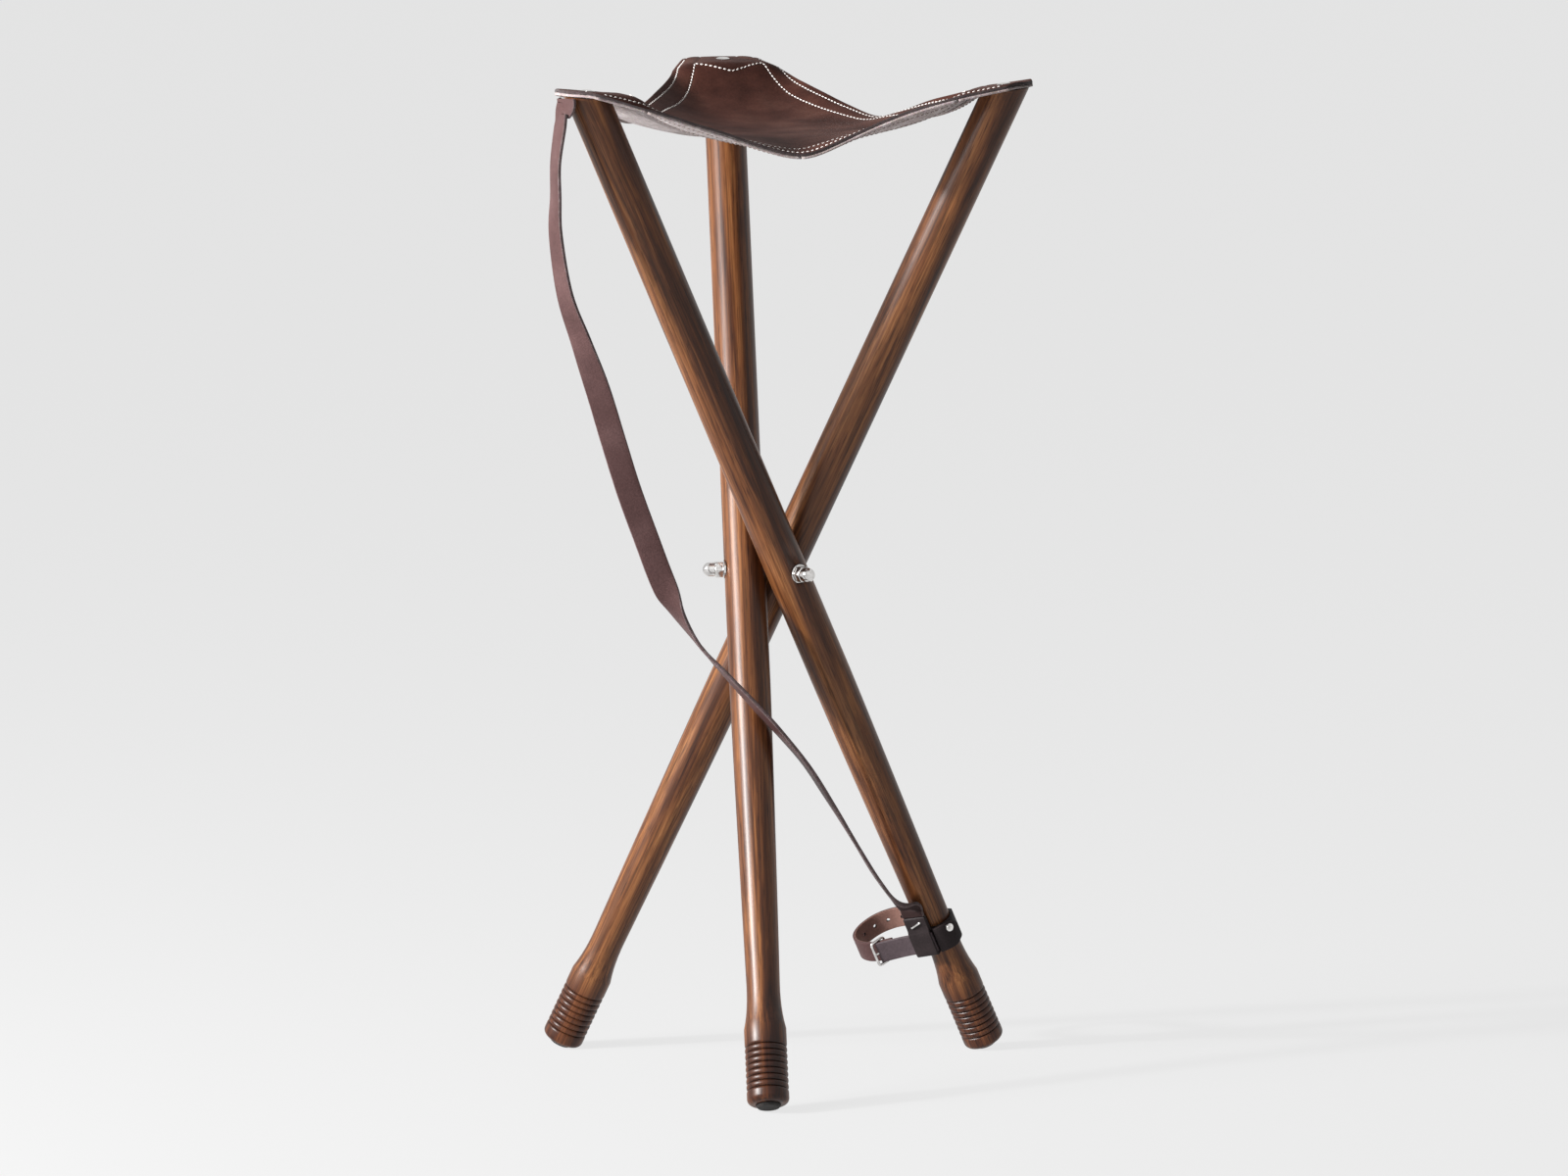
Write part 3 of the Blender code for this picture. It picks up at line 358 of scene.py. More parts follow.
# Moulded black rubber: matt, dusty
def rubberFinish():
    made, tree, shader = newMaterial("mouldedRubber")
    spot = addNode(tree, "ShaderNodeTexCoord")
    dust = addNode(tree, "ShaderNodeTexNoise", {"Vector": spot.outputs["Object"], "Scale": 1 / 0.003, "Detail": 5.0})
    tone = addNode(tree, "ShaderNodeValToRGB", {"Fac": dust.outputs["Fac"]}, stops=[
        (0.35, linear("#151211")), (0.75, linear("#2b2624"))])
    tree.links.new(tone.outputs[0], shader.inputs["Base Color"])
    relief = addNode(tree, "ShaderNodeBump", {"Height": dust.outputs["Fac"], "Strength": 0.3, "Distance": 0.0003})
    tree.links.new(relief.outputs[0], shader.inputs["Normal"])
    shader.inputs["Roughness"].default_value = 0.8
    return made


# Waxed linen thread: off-white, twisted
def threadFinish(name, deep, pale):
    made, tree, shader = newMaterial(name)
    spot = addNode(tree, "ShaderNodeTexCoord")
    twist = addNode(tree, "ShaderNodeTexNoise", {"Vector": spot.outputs["Object"], "Scale": 1 / 0.0012, "Detail": 3.0})
    tone = addNode(tree, "ShaderNodeValToRGB", {"Fac": twist.outputs["Fac"]}, stops=[
        (0.3, linear(deep)), (0.6, linear(pale))])
    tree.links.new(tone.outputs[0], shader.inputs["Base Color"])
    shader.inputs["Roughness"].default_value = 0.7
    return made


walnut = walnutFinish()
seatLeather = grainLeather("seatGrainLeather", "#4c2e27", "#613f35", "#38211c", 0.56, shine=0.04)
strapLeather = grainLeather("strapGrainLeather", "#4f3938", "#5a4342", "#44302f", 0.48, 1.2, 0.1)
collarLeather = grainLeather("collarGrainLeather", "#2a2324", "#362d2e", "#201a1b", 0.5, 1.2, 0.12)
beltLeather = grainLeather("beltGrainLeather", "#54484c", "#695c61", "#41373a", 0.45, 1.2)
beltInside = grainLeather("beltInsideLeather", "#8a675d", "#9c796e", "#70514a", 0.5, 1.2)
strapEdge = suedeFinish("strapCutEdge", "#5a4848", "#7c6c6c", "#453636")
cutEdge = suedeFinish("cutLeatherEdge", "#332626", "#4a3b3c", "#251a1a")
suede = suedeFinish("suedeLining", "#9a8b89", "#b9b0b1", "#7c6d6b")
fleshSide = suedeFinish("strapFleshSide", "#7d6a68", "#9a8a88", "#5f4e4c")
nickel = platedFinish("nickelPlate", "#b9b6b4", 0.12)
plainSteel = platedFinish("turnedSteel", "#8d8d90", 0.35)
tarnish = platedFinish("tarnishedNickel", "#4c4644", 0.45)
rubber = rubberFinish()
thread = threadFinish("waxedThread", "#cfc6c0", "#efeae6")
dullThread = threadFinish("dullThread", "#6f625f", "#8c7e7a")
print("materials made")


# Carrying strap: listed places (mm round the hub's foot point) and facings
collar = {"below": 280 * mm, "height": 18 * mm, "thick": 2.2 * mm, "inner": 11.47 * mm,
          "turn": math.radians(-65.5)}
collarFrame = (legFrame("right") @ Matrix.Translation((0, 0, -collar["below"]))
               @ Matrix.Rotation(collar["turn"], 4, "Z"))
collarOuter = collar["inner"] + collar["thick"]
belt = {"closed": 0.73, "width": 14.5 * mm, "thick": 2.2 * mm, "gap": 0.3 * mm, "holes": (0.36, 0.44, 0.52, 0.6, 0.68)}
beltRun = collarOuter + belt["gap"] + belt["thick"] / 2
frontRoute = [Vector((x * mm, y * mm + beltRun)) for x, y in
              ((-4.8, 0), (10, 1.2), (19, 2.4), (28, 4.6), (36.6, 7.0))]
keeper = {"length": 16 * mm, "height": 19 * mm, "wall": 1.7 * mm, "tab": 11 * mm}

strap = {
    "width": 16.5 * mm, "thick": 2.4 * mm, "length": 0.663, "closed": 0.1,
    "route": [
        ((-145.5, -102, 646), (-0.93, -0.36, 0)), ((-147, -104, 637), (-0.95, -0.31, 0)),
        ((-150, -104, 614), (-0.97, -0.25, 0)),
        ((-150, -104, 592), (-0.96, -0.27, 0)), ((-150, -103, 567), (-0.92, -0.39, 0)),
        ((-144, -101, 528), (-0.85, -0.52, 0)), ((-133, -98, 496), (-0.69, -0.72, 0)),
        ((-122, -96, 464), (-0.34, -0.94, 0)), ((-112, -93, 431), (-0.14, -0.99, 0)),
        ((-102, -90, 399), (-0.1, -1, 0)), ((-90, -86, 366), (-0.1, -1, 0)),
        ((-79, -82, 337), (-0.19, -0.98, -0.05)), ((-69, -78, 316), (-0.77, -0.41, -0.49)),
        ((-55, -74, 295), (-0.8, -0.02, -0.6)), ((-39, -73, 277), (-0.78, -0.13, -0.61)),
        ((-20, -70, 256), (-0.75, -0.23, -0.62)), ((-3, -66, 237), (-0.75, -0.23, -0.62)),
        ((18, -52, 211), (-0.82, -0.17, -0.55)), ((36, -32, 183), (-0.85, -0.12, -0.51)),
        ((55, -9, 152), (-0.86, -0.02, -0.5)), ((71, 8, 126), (-0.86, -0.07, -0.5)),
        ((84, 22, 109), (-0.84, -0.2, -0.5)),
    ],
}


def makeStrap():
    out = cornerWay("right")
    reach = topRadius + legReach + 0.3 * mm + strap["thick"] / 2
    top = axisFoot + out * reach
    top.z = topHeight + topPlane("right", reach) - 0.9 * mm
    places = [top, top - Vector((0, 0, strap["width"] / 4))]
    facings = [out, out]
    for spot, facing in strap["route"]:
        places.append(axisFoot + Vector(spot) * mm)
        facings.append(Vector(facing))
    middle = frontRoute[0] + (frontRoute[1] - frontRoute[0]).normalized() * keeper["length"] / 2
    towards = collarFrame.to_3x3() @ Vector((0, 1, 0))
    for above in (keeper["length"] / 2, keeper["length"] / 4, 0.3 * mm):
        places.append(collarFrame @ Vector((middle.x, middle.y, keeper["height"] / 2 + keeper["tab"] + above)))
        facings.append(towards)
    route = smoothRoute(places, 9)
    frames = runFrames(route, smoothRoute(facings, 9))
    bm = extrudeAlong(bmesh.new(), stripProfile(strap["width"], strap["thick"], 0.7 * mm, 0.15 * mm), frames)
    made = place("carryStrap", bm, strapLeather, fleshSide, strapEdge)
    lie = made.data.attributes["lie"].data
    for face in made.data.polygons:  # grain side out, flesh side in, cut edges between
        through = [lie[v].vector for v in face.vertices]
        across = sum(abs(p[0]) for p in through) / len(through)
        depth = sum(p[2] for p in through) / len(through)
        face.material_index = 2 if across > 7.9 else (0 if depth > 0 else 1)
    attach(made, "leg_right_body")
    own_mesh(made)
    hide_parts("carry_strap")
    print("strap length", round(sum((b - a).length for a, b in zip(route, route[1:])), 4))


makeStrap()


# Sling seat
seat = {
    "leather": 2.0 * mm, "lining": 1.6 * mm, "tipOverhang": 1.2 * mm, "cornerHalfWidth": {"front": 26 * mm, "right": 22 * mm, "left": 22 * mm},
    "cornerRounding": 9 * mm, "sideHollow": 8 * mm, "sag": 33 * mm, "rise": 2.35 * mm, "sheetGap": 0.25 * mm,
    "edgeSag": {"front": 39 * mm, "right": 28 * mm, "left": 20 * mm},
    "edgeCurve": {"front": 1.4, "right": 1.35, "left": 2.0},
    "gutterCurve": 3.2, "hem": 17 * mm, "patch": 42 * mm, "patchPoint": 8 * mm,
    "dipRounding": 0.12, "foldRounding": 3 * mm, "outerRow": 3.6 * mm, "innerRow": 14.2 * mm,
    "stitch": 3.3 * mm, "gathered": 0.12,
}
tipRadius = topRadius + legReach + seat["tipOverhang"]
cornerRadius = tipRadius - seat["cornerRounding"]
legInnerEdge = topRadius - legReach
sideAngle = math.pi / 3
sideWay = Vector((math.cos(sideAngle), math.sin(sideAngle)))
narrow = min(seat["cornerHalfWidth"].values())
middleRadius = math.hypot(cornerRadius, narrow) * math.cos(
    sideAngle - math.atan2(narrow, cornerRadius)) - seat["sideHollow"]
shoulder = 1 - seat["patch"] / tipRadius
sides = {("right", 1): "front", ("left", -1): "front", ("left", 1): "right",
         ("front", -1): "right", ("front", 1): "left", ("right", -1): "left"}


def gutterHeight(leg, radius):
    resting = seat["rise"] + topPlane(leg, radius)
    leave = legInnerEdge - 2 * seat["foldRounding"]
    start = seat["rise"] + topPlane(leg, leave)
    hanging = start - (seat["sag"] + start) * (1 - (radius / leave) ** seat["gutterCurve"])
    share = max(seat["foldRounding"] - abs(resting - hanging), 0) / seat["foldRounding"]
    return min(resting, hanging) - share * share * seat["foldRounding"] / 4


def edgeHeight(leg, q, w):
    side = sides[leg, 1 if w > 0 else -1]
    eased = math.hypot(q, seat["dipRounding"]) - seat["dipRounding"]
    drop = seat["edgeSag"][side] * max(0.0, 1 - eased / 0.95) ** seat["edgeCurve"][leg]
    return (seat["rise"] + topPlane(leg, cornerRadius)) * q**6 - drop


def edgePoint(leg, q):
    corner = Vector((cornerRadius, seat["cornerHalfWidth"][leg]))
    return (sideWay * middleRadius).lerp(corner, q) + sideWay * seat["sideHollow"] * (q**2 - q)


def seatPoint(leg, q, w):
    side = edgePoint(leg, q)
    across = abs(w)
    x = q * tipRadius + (side.x - q * tipRadius) * across ** (1 + q)
    z = gutterHeight(leg, q * tipRadius)
    z += (edgeHeight(leg, q, w) - z) * across ** (2 + 4 * q**2)
    return Vector((x, side.y * w, z))


def seatNormal(leg, q, w):
    step = 0.004
    along = seatPoint(leg, min(q + step, 1), w) - seatPoint(leg, max(q - step, 0), w)
    over = seatPoint(leg, q, min(w + step, 1)) - seatPoint(leg, q, max(w - step, -1))
    normal = along.cross(over).normalized()
    if q == 0 and w:
        apart = Vector((-math.sin(sideAngle), math.copysign(math.cos(sideAngle), w), 0))
        normal = (normal - apart * normal.dot(apart)).normalized()
    return normal if w or q else Vector((0, 0, 1))


def onSeat(leg, q, w, lift=0.0):
    point = seatPoint(leg, q, w) + seatNormal(leg, q, w) * lift
    return Matrix.Rotation(cornerAngle(leg), 3, "Z") @ point + axisFoot + Vector((0, 0, topHeight))


def halfWidth(leg, q):
    side = edgePoint(leg, q)
    return math.hypot(side.x - q * tipRadius, side.y)


def fromEdge(leg, q, reach):
    # share of the half width that leaves reach to the edge
    return max(0.0, 1 - reach / halfWidth(leg, q))


# distances from the edge in millimetres: a column on each stitch row and close beside it
hemSteps = (0, 0.9, 1.8, 2.7, 3.6, 4.5, 5.6, 7.0, 8.5, 10.0, 11.6, 13.1, 14.2, 15.3, 17.0)


def seatColumns(leg, q):
    hem = [fromEdge(leg, q, d * mm) for d in hemSteps]
    inner = hem[-1]
    half = [inner * i / 20 for i in range(1, 20)] + hem[::-1]
    return [-w for w in reversed(half)] + [0.0] + half


def puff(leg, q, w):
    # the doubled hem swells between its two rows of stitching and dips on each row
    reach = (1 - abs(w)) * halfWidth(leg, q)
    rise = 0.0
    for row in (seat["outerRow"], seat["innerRow"]):
        rise -= 0.28 * mm * max(0.0, 1 - abs(reach - row) / (1.1 * mm))
    if seat["outerRow"] < reach < seat["innerRow"]:
        t = (reach - seat["outerRow"]) / (seat["innerRow"] - seat["outerRow"])
        rise += 0.3 * mm * math.sin(math.pi * t) ** 0.8
    return rise


seatRows = [i / 54 for i in range(55)]


def gridSheet(bm, leg, rows, columnsAt, lift):
    # a flat grid whose points are moved onto the seat's surface
    count = len(columnsAt(leg, rows[0]))
    made = bmesh.ops.create_grid(bm, x_segments=len(rows) - 1, y_segments=count - 1, size=1.0)["verts"]
    for vert in made:
        i = round((vert.co.x + 1) / 2 * (len(rows) - 1))
        j = round((vert.co.y + 1) / 2 * (count - 1))
        q, w = rows[i], columnsAt(leg, rows[i])[j]
        vert.co = onSeat(leg, q, w, lift(leg, q, w))


def wrinkle(q, w):
    # slack leather: slow ripples in the open sheet, none on the leg tops
    spread = (1 - q) * 4 * q if q < 0.5 else (1 - q) * 2
    return 0.9 * mm * spread * noise.noise(Vector((q * 5.5, w * 3.2, 1.7)))


def seatLift(leg, q, w):
    return seat["leather"] + puff(leg, q, w) + (wrinkle(q, w) if q > 0 else 0.0)


def underLift(leg, q, w):
    return -seat["sheetGap"] - seat["lining"]


def makeSeat():
    bm = bmesh.new()
    for leg in legNames:
        gridSheet(bm, leg, seatRows, seatColumns, seatLift)
    bmesh.ops.remove_doubles(bm, verts=bm.verts, dist=2e-5)
    bmesh.ops.recalc_face_normals(bm, faces=bm.faces)
    if sum(f.normal.z for f in bm.faces) < 0:
        bmesh.ops.reverse_faces(bm, faces=bm.faces)
    whole = place("seatWhole", bm, seatLeather, suede, cutEdge)
    wall = whole.modifiers.new("thickness", "SOLIDIFY")
    wall.thickness = seat["leather"]
    wall.offset = -1
    wall.material_offset = 1
    wall.material_offset_rim = 2
    rim = whole.modifiers.new("softEdge", "BEVEL")
    rim.width = 0.5 * mm
    rim.segments = 2
    rim.limit_method = "ANGLE"
    rim.angle_limit = math.radians(50)
    settle(whole)
    normals = whole.data.attributes.new("seatNormal", "FLOAT_VECTOR", "POINT")
    for vert in whole.data.vertices:
        normals.data[vert.index].vector = vert.normal
    thirds = {}
    for leg in legNames:
        # the one sheet is parted in thirds, so each follows its own leg
        bm = bmesh.new()
        bm.from_mesh(whole.data)
        keep = bm.verts.layers.float_vector["seatNormal"]
        way = cornerWay(leg)
        far = [f for f in bm.faces if (f.calc_center_median() - axisFoot).xy.normalized().dot(way.xy) < 0.5]
        bmesh.ops.delete(bm, geom=far, context="FACES")
        bm.normal_update()
        cutLine = [e for e in bm.edges if e.is_boundary]
        upper = [e for e in cutLine if all(v[keep].z > 0.5 for v in e.verts)]
        lower = [e for e in cutLine if all(v[keep].z < -0.5 for v in e.verts)]
        bmesh.ops.bridge_loops(bm, edges=upper + lower)  # hidden wall where two thirds meet
        bmesh.ops.holes_fill(bm, edges=[e for e in bm.edges if e.is_boundary], sides=0)
        third = place("seatLeather_" + leg, bm, seatLeather, suede, cutEdge)
        third.data.normals_split_custom_set_from_vertices(
            [tuple(d.vector) for d in third.data.attributes["seatNormal"].data])
        thirds[leg] = third
    bpy.data.objects.remove(whole)
    return thirds


def makeHem(leg):
    # suede band under both edges of one corner
    bm = bmesh.new()
    rows = [i / 40 * (shoulder - 1.2 * mm / tipRadius) for i in range(41)]
    reaches = (0.0, 1.0, 2.5, 3.6, 5.0, 7.0, 9.0, 11.0, 13.0, 14.2, 15.5, 17.0)
    for hand in (1, -1):
        gridSheet(bm, leg, rows, lambda corner, q: [hand * fromEdge(corner, q, d * mm) for d in reaches],
                  lambda corner, q, w: -seat["sheetGap"])
    return liningSheet("hemBand_" + leg, bm)


def makePatch(leg):
    # suede facing of the corner, pointed towards the middle
    bm = bmesh.new()
    inner = fromEdge(leg, shoulder, seat["hem"])
    columns = seatColumns(leg, shoulder)
    steps = 24
    rows = []
    for i in range(steps + 1):
        share = i / steps
        row = []
        for w in columns:
            first = shoulder - max(0.0, 1 - abs(w) / inner) * seat["patchPoint"] / tipRadius
            row.append(first + (1 - first) * share)
        rows.append(tuple(row))
    made = bmesh.ops.create_grid(bm, x_segments=steps, y_segments=len(columns) - 1, size=1.0)["verts"]
    for vert in made:
        i = round((vert.co.x + 1) / 2 * steps)
        j = round((vert.co.y + 1) / 2 * (len(columns) - 1))
        vert.co = onSeat(leg, rows[i][j], columns[j], -seat["sheetGap"])
    return liningSheet("cornerPatch_" + leg, bm)


def liningSheet(name, bm):
    bmesh.ops.remove_doubles(bm, verts=bm.verts, dist=1e-5)
    bmesh.ops.recalc_face_normals(bm, faces=bm.faces)
    if sum(f.normal.z for f in bm.faces) < 0:
        bmesh.ops.reverse_faces(bm, faces=bm.faces)
    made = place(name, bm, suede, suede, suede)
    wall = made.modifiers.new("thickness", "SOLIDIFY")
    wall.thickness = seat["lining"]
    wall.offset = -1
    return settle(made)


def rowStitches(bm, leg, path, lift, side):
    # threads of one row: short rounded capsules along the path, a little sunk in the leather
    fine = [onSeat(leg, q, w, lift(leg, q, w)) for q, w in path]
    runs = [0.0]
    for a, b in zip(fine, fine[1:]):
        runs.append(runs[-1] + (b - a).length)
    count = max(1, round(runs[-1] / seat["stitch"]))
    pitch = runs[-1] / count
    k = 0
    for i in range(count):
        spot = (i + 0.5) * pitch
        while runs[k + 1] < spot and k < len(runs) - 2:
            k += 1
        t = (spot - runs[k]) / (runs[k + 1] - runs[k])
        q = path[k][0] + (path[k + 1][0] - path[k][0]) * t
        w = path[k][1] + (path[k + 1][1] - path[k][1]) * t
        ahead = (fine[k + 1] - fine[k]).normalized()
        up = Matrix.Rotation(cornerAngle(leg), 3, "Z") @ seatNormal(leg, q, w) * side
        across = up.cross(ahead).normalized()
        ahead = (ahead + across * 0.12).normalized()  # each thread leans a little
        across = up.cross(ahead).normalized()
        turn = Matrix((ahead, across, ahead.cross(across))).transposed().to_4x4()
        shape = Matrix.Diagonal((pitch * 0.40, 0.62 * mm, 0.5 * mm, 1))
        spotAt = fine[k].lerp(fine[k + 1], t) + up * 0.1 * mm
        bmesh.ops.create_uvsphere(bm, u_segments=6, v_segments=5, radius=1.0,
                                  matrix=Matrix.Translation(spotAt) @ turn @ shape)


def makeStitches(leg, side):
    # pale thread on the grain side, a dull one on the suede
    bm = bmesh.new()
    turnAt = shoulder + 3.4 * mm / tipRadius
    lift = seatLift if side > 0 else underLift
    for hand in (1, -1):
        outer = [(i / 150, hand * fromEdge(leg, i / 150, seat["outerRow"])) for i in range(144)]
        rowStitches(bm, leg, outer, lift, side)
        inward = [(turnAt * i / 120, hand * fromEdge(leg, turnAt * i / 120, seat["innerRow"])) for i in range(121)]
        rowStitches(bm, leg, inward, lift, side)
    edge = fromEdge(leg, turnAt, seat["innerRow"])
    cross = []
    for i in range(81):  # the pointed row across the corner
        w = edge * (i / 40 - 1)
        cross.append((turnAt - max(0.0, 1 - abs(w) / edge) * seat["patchPoint"] / tipRadius, w))
    rowStitches(bm, leg, cross, lift, side)
    if side > 0:
        return place("seatStitches_" + leg, bm, thread)
    return place("liningStitches_" + leg, bm, dullThread)


def makeSling():
    thirds = makeSeat()
    edges = {"right": ("edge_band_front", "edge_band_left"), "left": ("edge_band_front", "edge_band_right"),
             "front": ("edge_band_right", "edge_band_left")}
    for leg, third in thirds.items():
        hem, patch = makeHem(leg), makePatch(leg)
        rows, underRows = makeStitches(leg, 1), makeStitches(leg, -1)
        for piece in (third, hem, patch, rows, underRows):  # each piece follows its own leg, with a mesh of its own
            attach(piece, "leg_" + leg + "_body")
            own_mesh(piece)
        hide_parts("seat_panel")
        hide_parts(*edges[leg])
        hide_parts("corner_patch_" + leg)
        area = sum(f.area for f in third.data.polygons) / 2
        print("seat third", leg, round(area, 5), "square metres,", len(third.data.polygons), "faces")


makeSling()
print("sling seat made")


# Turned legs
legs = {
    "waist": 10.9 * mm, "foot": 13.8 * mm, "taperStart": 80 * mm, "waistFromEnd": 80 * mm, "footLength": 51 * mm,
    "footEdge": 4 * mm, "grooves": 8, "pitch": 4.14 * mm, "depth": 1.3 * mm, "firstGroove": 12.5 * mm,
    "steps": 72, "socket": 8.3 * mm, "socketDepth": 10.1 * mm, "spot": 6.75 * mm, "spotDepth": 0.8 * mm,
    "shift": {"front": (0, 0, 0), "right": (61, 37, 420), "left": (-53, 88, 910)},
}


def legRadiusAt(below):
    waist = stance["hubToFoot"] - legs["waistFromEnd"]
    flare = stance["hubToFoot"] - legs["footLength"]
    if below <= legs["taperStart"]:
        return stance["legRadius"]
    if below <= waist:
        share = (below - legs["taperStart"]) / (waist - legs["taperStart"])
        return stance["legRadius"] + (legs["waist"] - stance["legRadius"]) * share**1.25
    share = min((below - waist) / (flare - waist), 1.0)
    return legs["waist"] + (legs["foot"] - legs["waist"]) * share**2.4


def legProfile():
    end = stance["hubToFoot"]
    flare = end - legs["footLength"]
    longest = stance["hubToTop"] + 2 * stance["legRadius"]
    profile = [(0, longest), (stance["legRadius"], longest)]
    heights = [stance["hubToTop"] * (1 - i / 12) for i in range(13)]
    profile += [(legRadiusAt(-h), h) for h in heights]
    downs = [flare * (i + 1) / 64 for i in range(64)]
    profile += [(legRadiusAt(d), -d) for d in downs]
    first = flare + legs["firstGroove"]
    for i in range(legs["grooves"]):  # rounded beads between sharp grooves
        middle = first + legs["pitch"] * i
        for k in range(-4, 5):
            t = abs(k) / 4
            cut = legs["depth"] * (1 - math.sqrt(1 - (1 - t) ** 2)) if t < 1 else 0.0
            profile.append((legs["foot"] - cut, -(middle + k / 4 * legs["pitch"] * 0.47)))
    centre = (legs["foot"] - legs["footEdge"], legs["footEdge"] - end)
    for i in range(9):
        a = -math.pi / 2 * i / 8
        profile.append((centre[0] + legs["footEdge"] * math.cos(a), centre[1] + legs["footEdge"] * math.sin(a)))
    deep = legs["socketDepth"] - end
    return profile + [(legs["socket"], -end), (legs["socket"], deep), (0, deep)]


def makeLeg(leg):
    bm = spun(legProfile(), legs["steps"])
    home = legFrame(leg)
    slope = stance["topSlope"][leg]
    normal = Vector((0, 0, 1)) * math.cos(slope) - cornerWay(leg) * math.sin(slope)
    cut = bmesh.ops.bisect_plane(bm, geom=bm.verts[:] + bm.edges[:] + bm.faces[:], clear_outer=True,
                                 plane_co=(0, 0, stance["hubToTop"]), plane_no=home.to_3x3().inverted() @ normal)
    rim = [e for e in cut["geom_cut"] if isinstance(e, bmesh.types.BMEdge)]
    bmesh.ops.contextual_create(bm, geom=rim)
    bmesh.ops.recalc_face_normals(bm, faces=bm.faces)
    made = place("turnedLeg_" + leg, bm, walnut, sharp=38)
    tool = bmesh.new()
    flat = stance["legRadius"] - legs["spotDepth"]
    bmesh.ops.create_cone(tool, cap_ends=True, segments=48, radius1=legs["spot"], radius2=legs["spot"],
                          depth=0.02, matrix=Matrix.Translation((0, flat + 0.01, 0)) @ Matrix.Rotation(math.pi / 2, 4, "X"))
    cutter = place("spotFace_" + leg, tool)
    change = made.modifiers.new("spotFace", "BOOLEAN")
    change.operation = "DIFFERENCE"
    change.solver = "EXACT"
    change.object = cutter
    settle(made)
    bpy.data.objects.remove(cutter)
    made.data.attributes.new("grain", "FLOAT_VECTOR", "POINT")
    made.data.attributes.new("hollow", "FLOAT", "POINT")
    grain, hollow = made.data.attributes["grain"], made.data.attributes["hollow"]
    shift = Vector(legs["shift"][leg])
    first = stance["hubToFoot"] - legs["footLength"] + legs["firstGroove"] - 2 * mm
    for vert in made.data.vertices:
        local = vert.co / mm
        grain.data[vert.index].vector = (local.x + shift.x, local.y + shift.y, local.z)
        reach = math.hypot(vert.co.x, vert.co.y)
        inGrooves = -first - 34 * mm < vert.co.z < -first
        # hollow: depth into the turned grooves, which the walnut finish turns into painted shade
        hollow.data[vert.index].value = (
            min(1.0, max(0.0, (legs["foot"] - reach) / legs["depth"])) * 0.75 if inGrooves else 0.0)
    made.data.transform(home)
    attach(made, "leg_" + leg + "_body")
    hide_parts("leg_" + leg)


for leg in legNames:
    makeLeg(leg)
print("legs turned")


# Seat screws: round-headed wood screws that taper to a point in the leg
screw = {"shank": 2.25 * mm, "head": 4.5 * mm, "headHeight": 1.0 * mm, "gap": 0.3 * mm,
         "depth": 24 * mm, "straight": 8 * mm, "tip": 0.2 * mm}


def makeScrew(leg):
    under = seat["rise"] + seat["leather"] + screw["gap"]
    turns = [math.pi / 2 * i / 8 for i in range(9)]
    profile = [(screw["head"] * math.sin(a), under + screw["headHeight"] * math.cos(a)) for a in turns]
    profile += [(screw["shank"], under), (screw["shank"], -screw["straight"]),
                (screw["tip"], screw["tip"] - screw["depth"]), (0, -screw["depth"])]
    bm = spun(profile, 40)
    slope = stance["topSlope"][leg]
    normal = Vector((0, 0, 1)) * math.cos(slope) - cornerWay(leg) * math.sin(slope)
    turn = Vector((0, 0, 1)).rotation_difference(normal).to_matrix().to_4x4()
    legTop = axisFoot + cornerWay(leg) * topRadius + Vector((0, 0, topHeight))
    bmesh.ops.transform(bm, matrix=Matrix.Translation(legTop) @ turn, verts=bm.verts)
    made = place("seatScrew_" + leg, bm, nickel, sharp=35)
    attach(made, "leg_" + leg + "_body")
    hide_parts("seat_screw_" + leg)


for leg in legNames:
    makeScrew(leg)
print("seat screws made")


# Cap nuts
nut = {"at": 32.3 * mm, "flats": 10 * mm, "hexHeight": 5.5 * mm, "height": 13.4 * mm}


def makeNut(leg):
    dome = nut["flats"] / 2 * 0.96
    neck = nut["at"] + nut["hexHeight"]
    crown = nut["at"] + nut["height"] - dome
    profile = [(0, nut["at"] + nut["height"])]
    profile += [(dome * math.sin(math.pi / 2 * i / 14), crown + dome * math.cos(math.pi / 2 * i / 14))
                for i in range(1, 15)]
    profile += [(dome, neck + 0.35 * mm), (dome * 0.95, neck), (0, neck - 0.6 * mm)]
    bm = spun(profile, 48)
    base = bmesh.ops.create_circle(bm, cap_ends=True, segments=6, radius=nut["flats"] / 2 / math.cos(math.pi / 6),
                                   matrix=Matrix.Translation((0, 0, nut["at"])))["verts"]
    faces = list({f for v in base for f in v.link_faces})
    grown = bmesh.ops.extrude_face_region(bm, geom=faces)["geom"]
    raised = [g for g in grown if isinstance(g, bmesh.types.BMVert)]
    bmesh.ops.translate(bm, verts=raised, vec=(0, 0, nut["hexHeight"] - 0.1 * mm))
    hexEdges = list({e for v in [*base, *raised] for e in v.link_edges})
    bmesh.ops.bevel(bm, geom=hexEdges, offset=0.45 * mm, offset_type="OFFSET", segments=3, profile=0.5,
                    affect="EDGES", material=-1)
    bmesh.ops.recalc_face_normals(bm, faces=bm.faces)
    turn = Vector((0, 0, 1)).rotation_difference(armWay(leg)).to_matrix().to_4x4()
    bmesh.ops.transform(bm, matrix=Matrix.Translation(hub) @ turn, verts=bm.verts)
    made = place("capNut_" + leg, bm, nickel, sharp=30)
    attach(made, "hub")
    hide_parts("cap_nut_" + leg)


for leg in legNames:
    makeNut(leg)


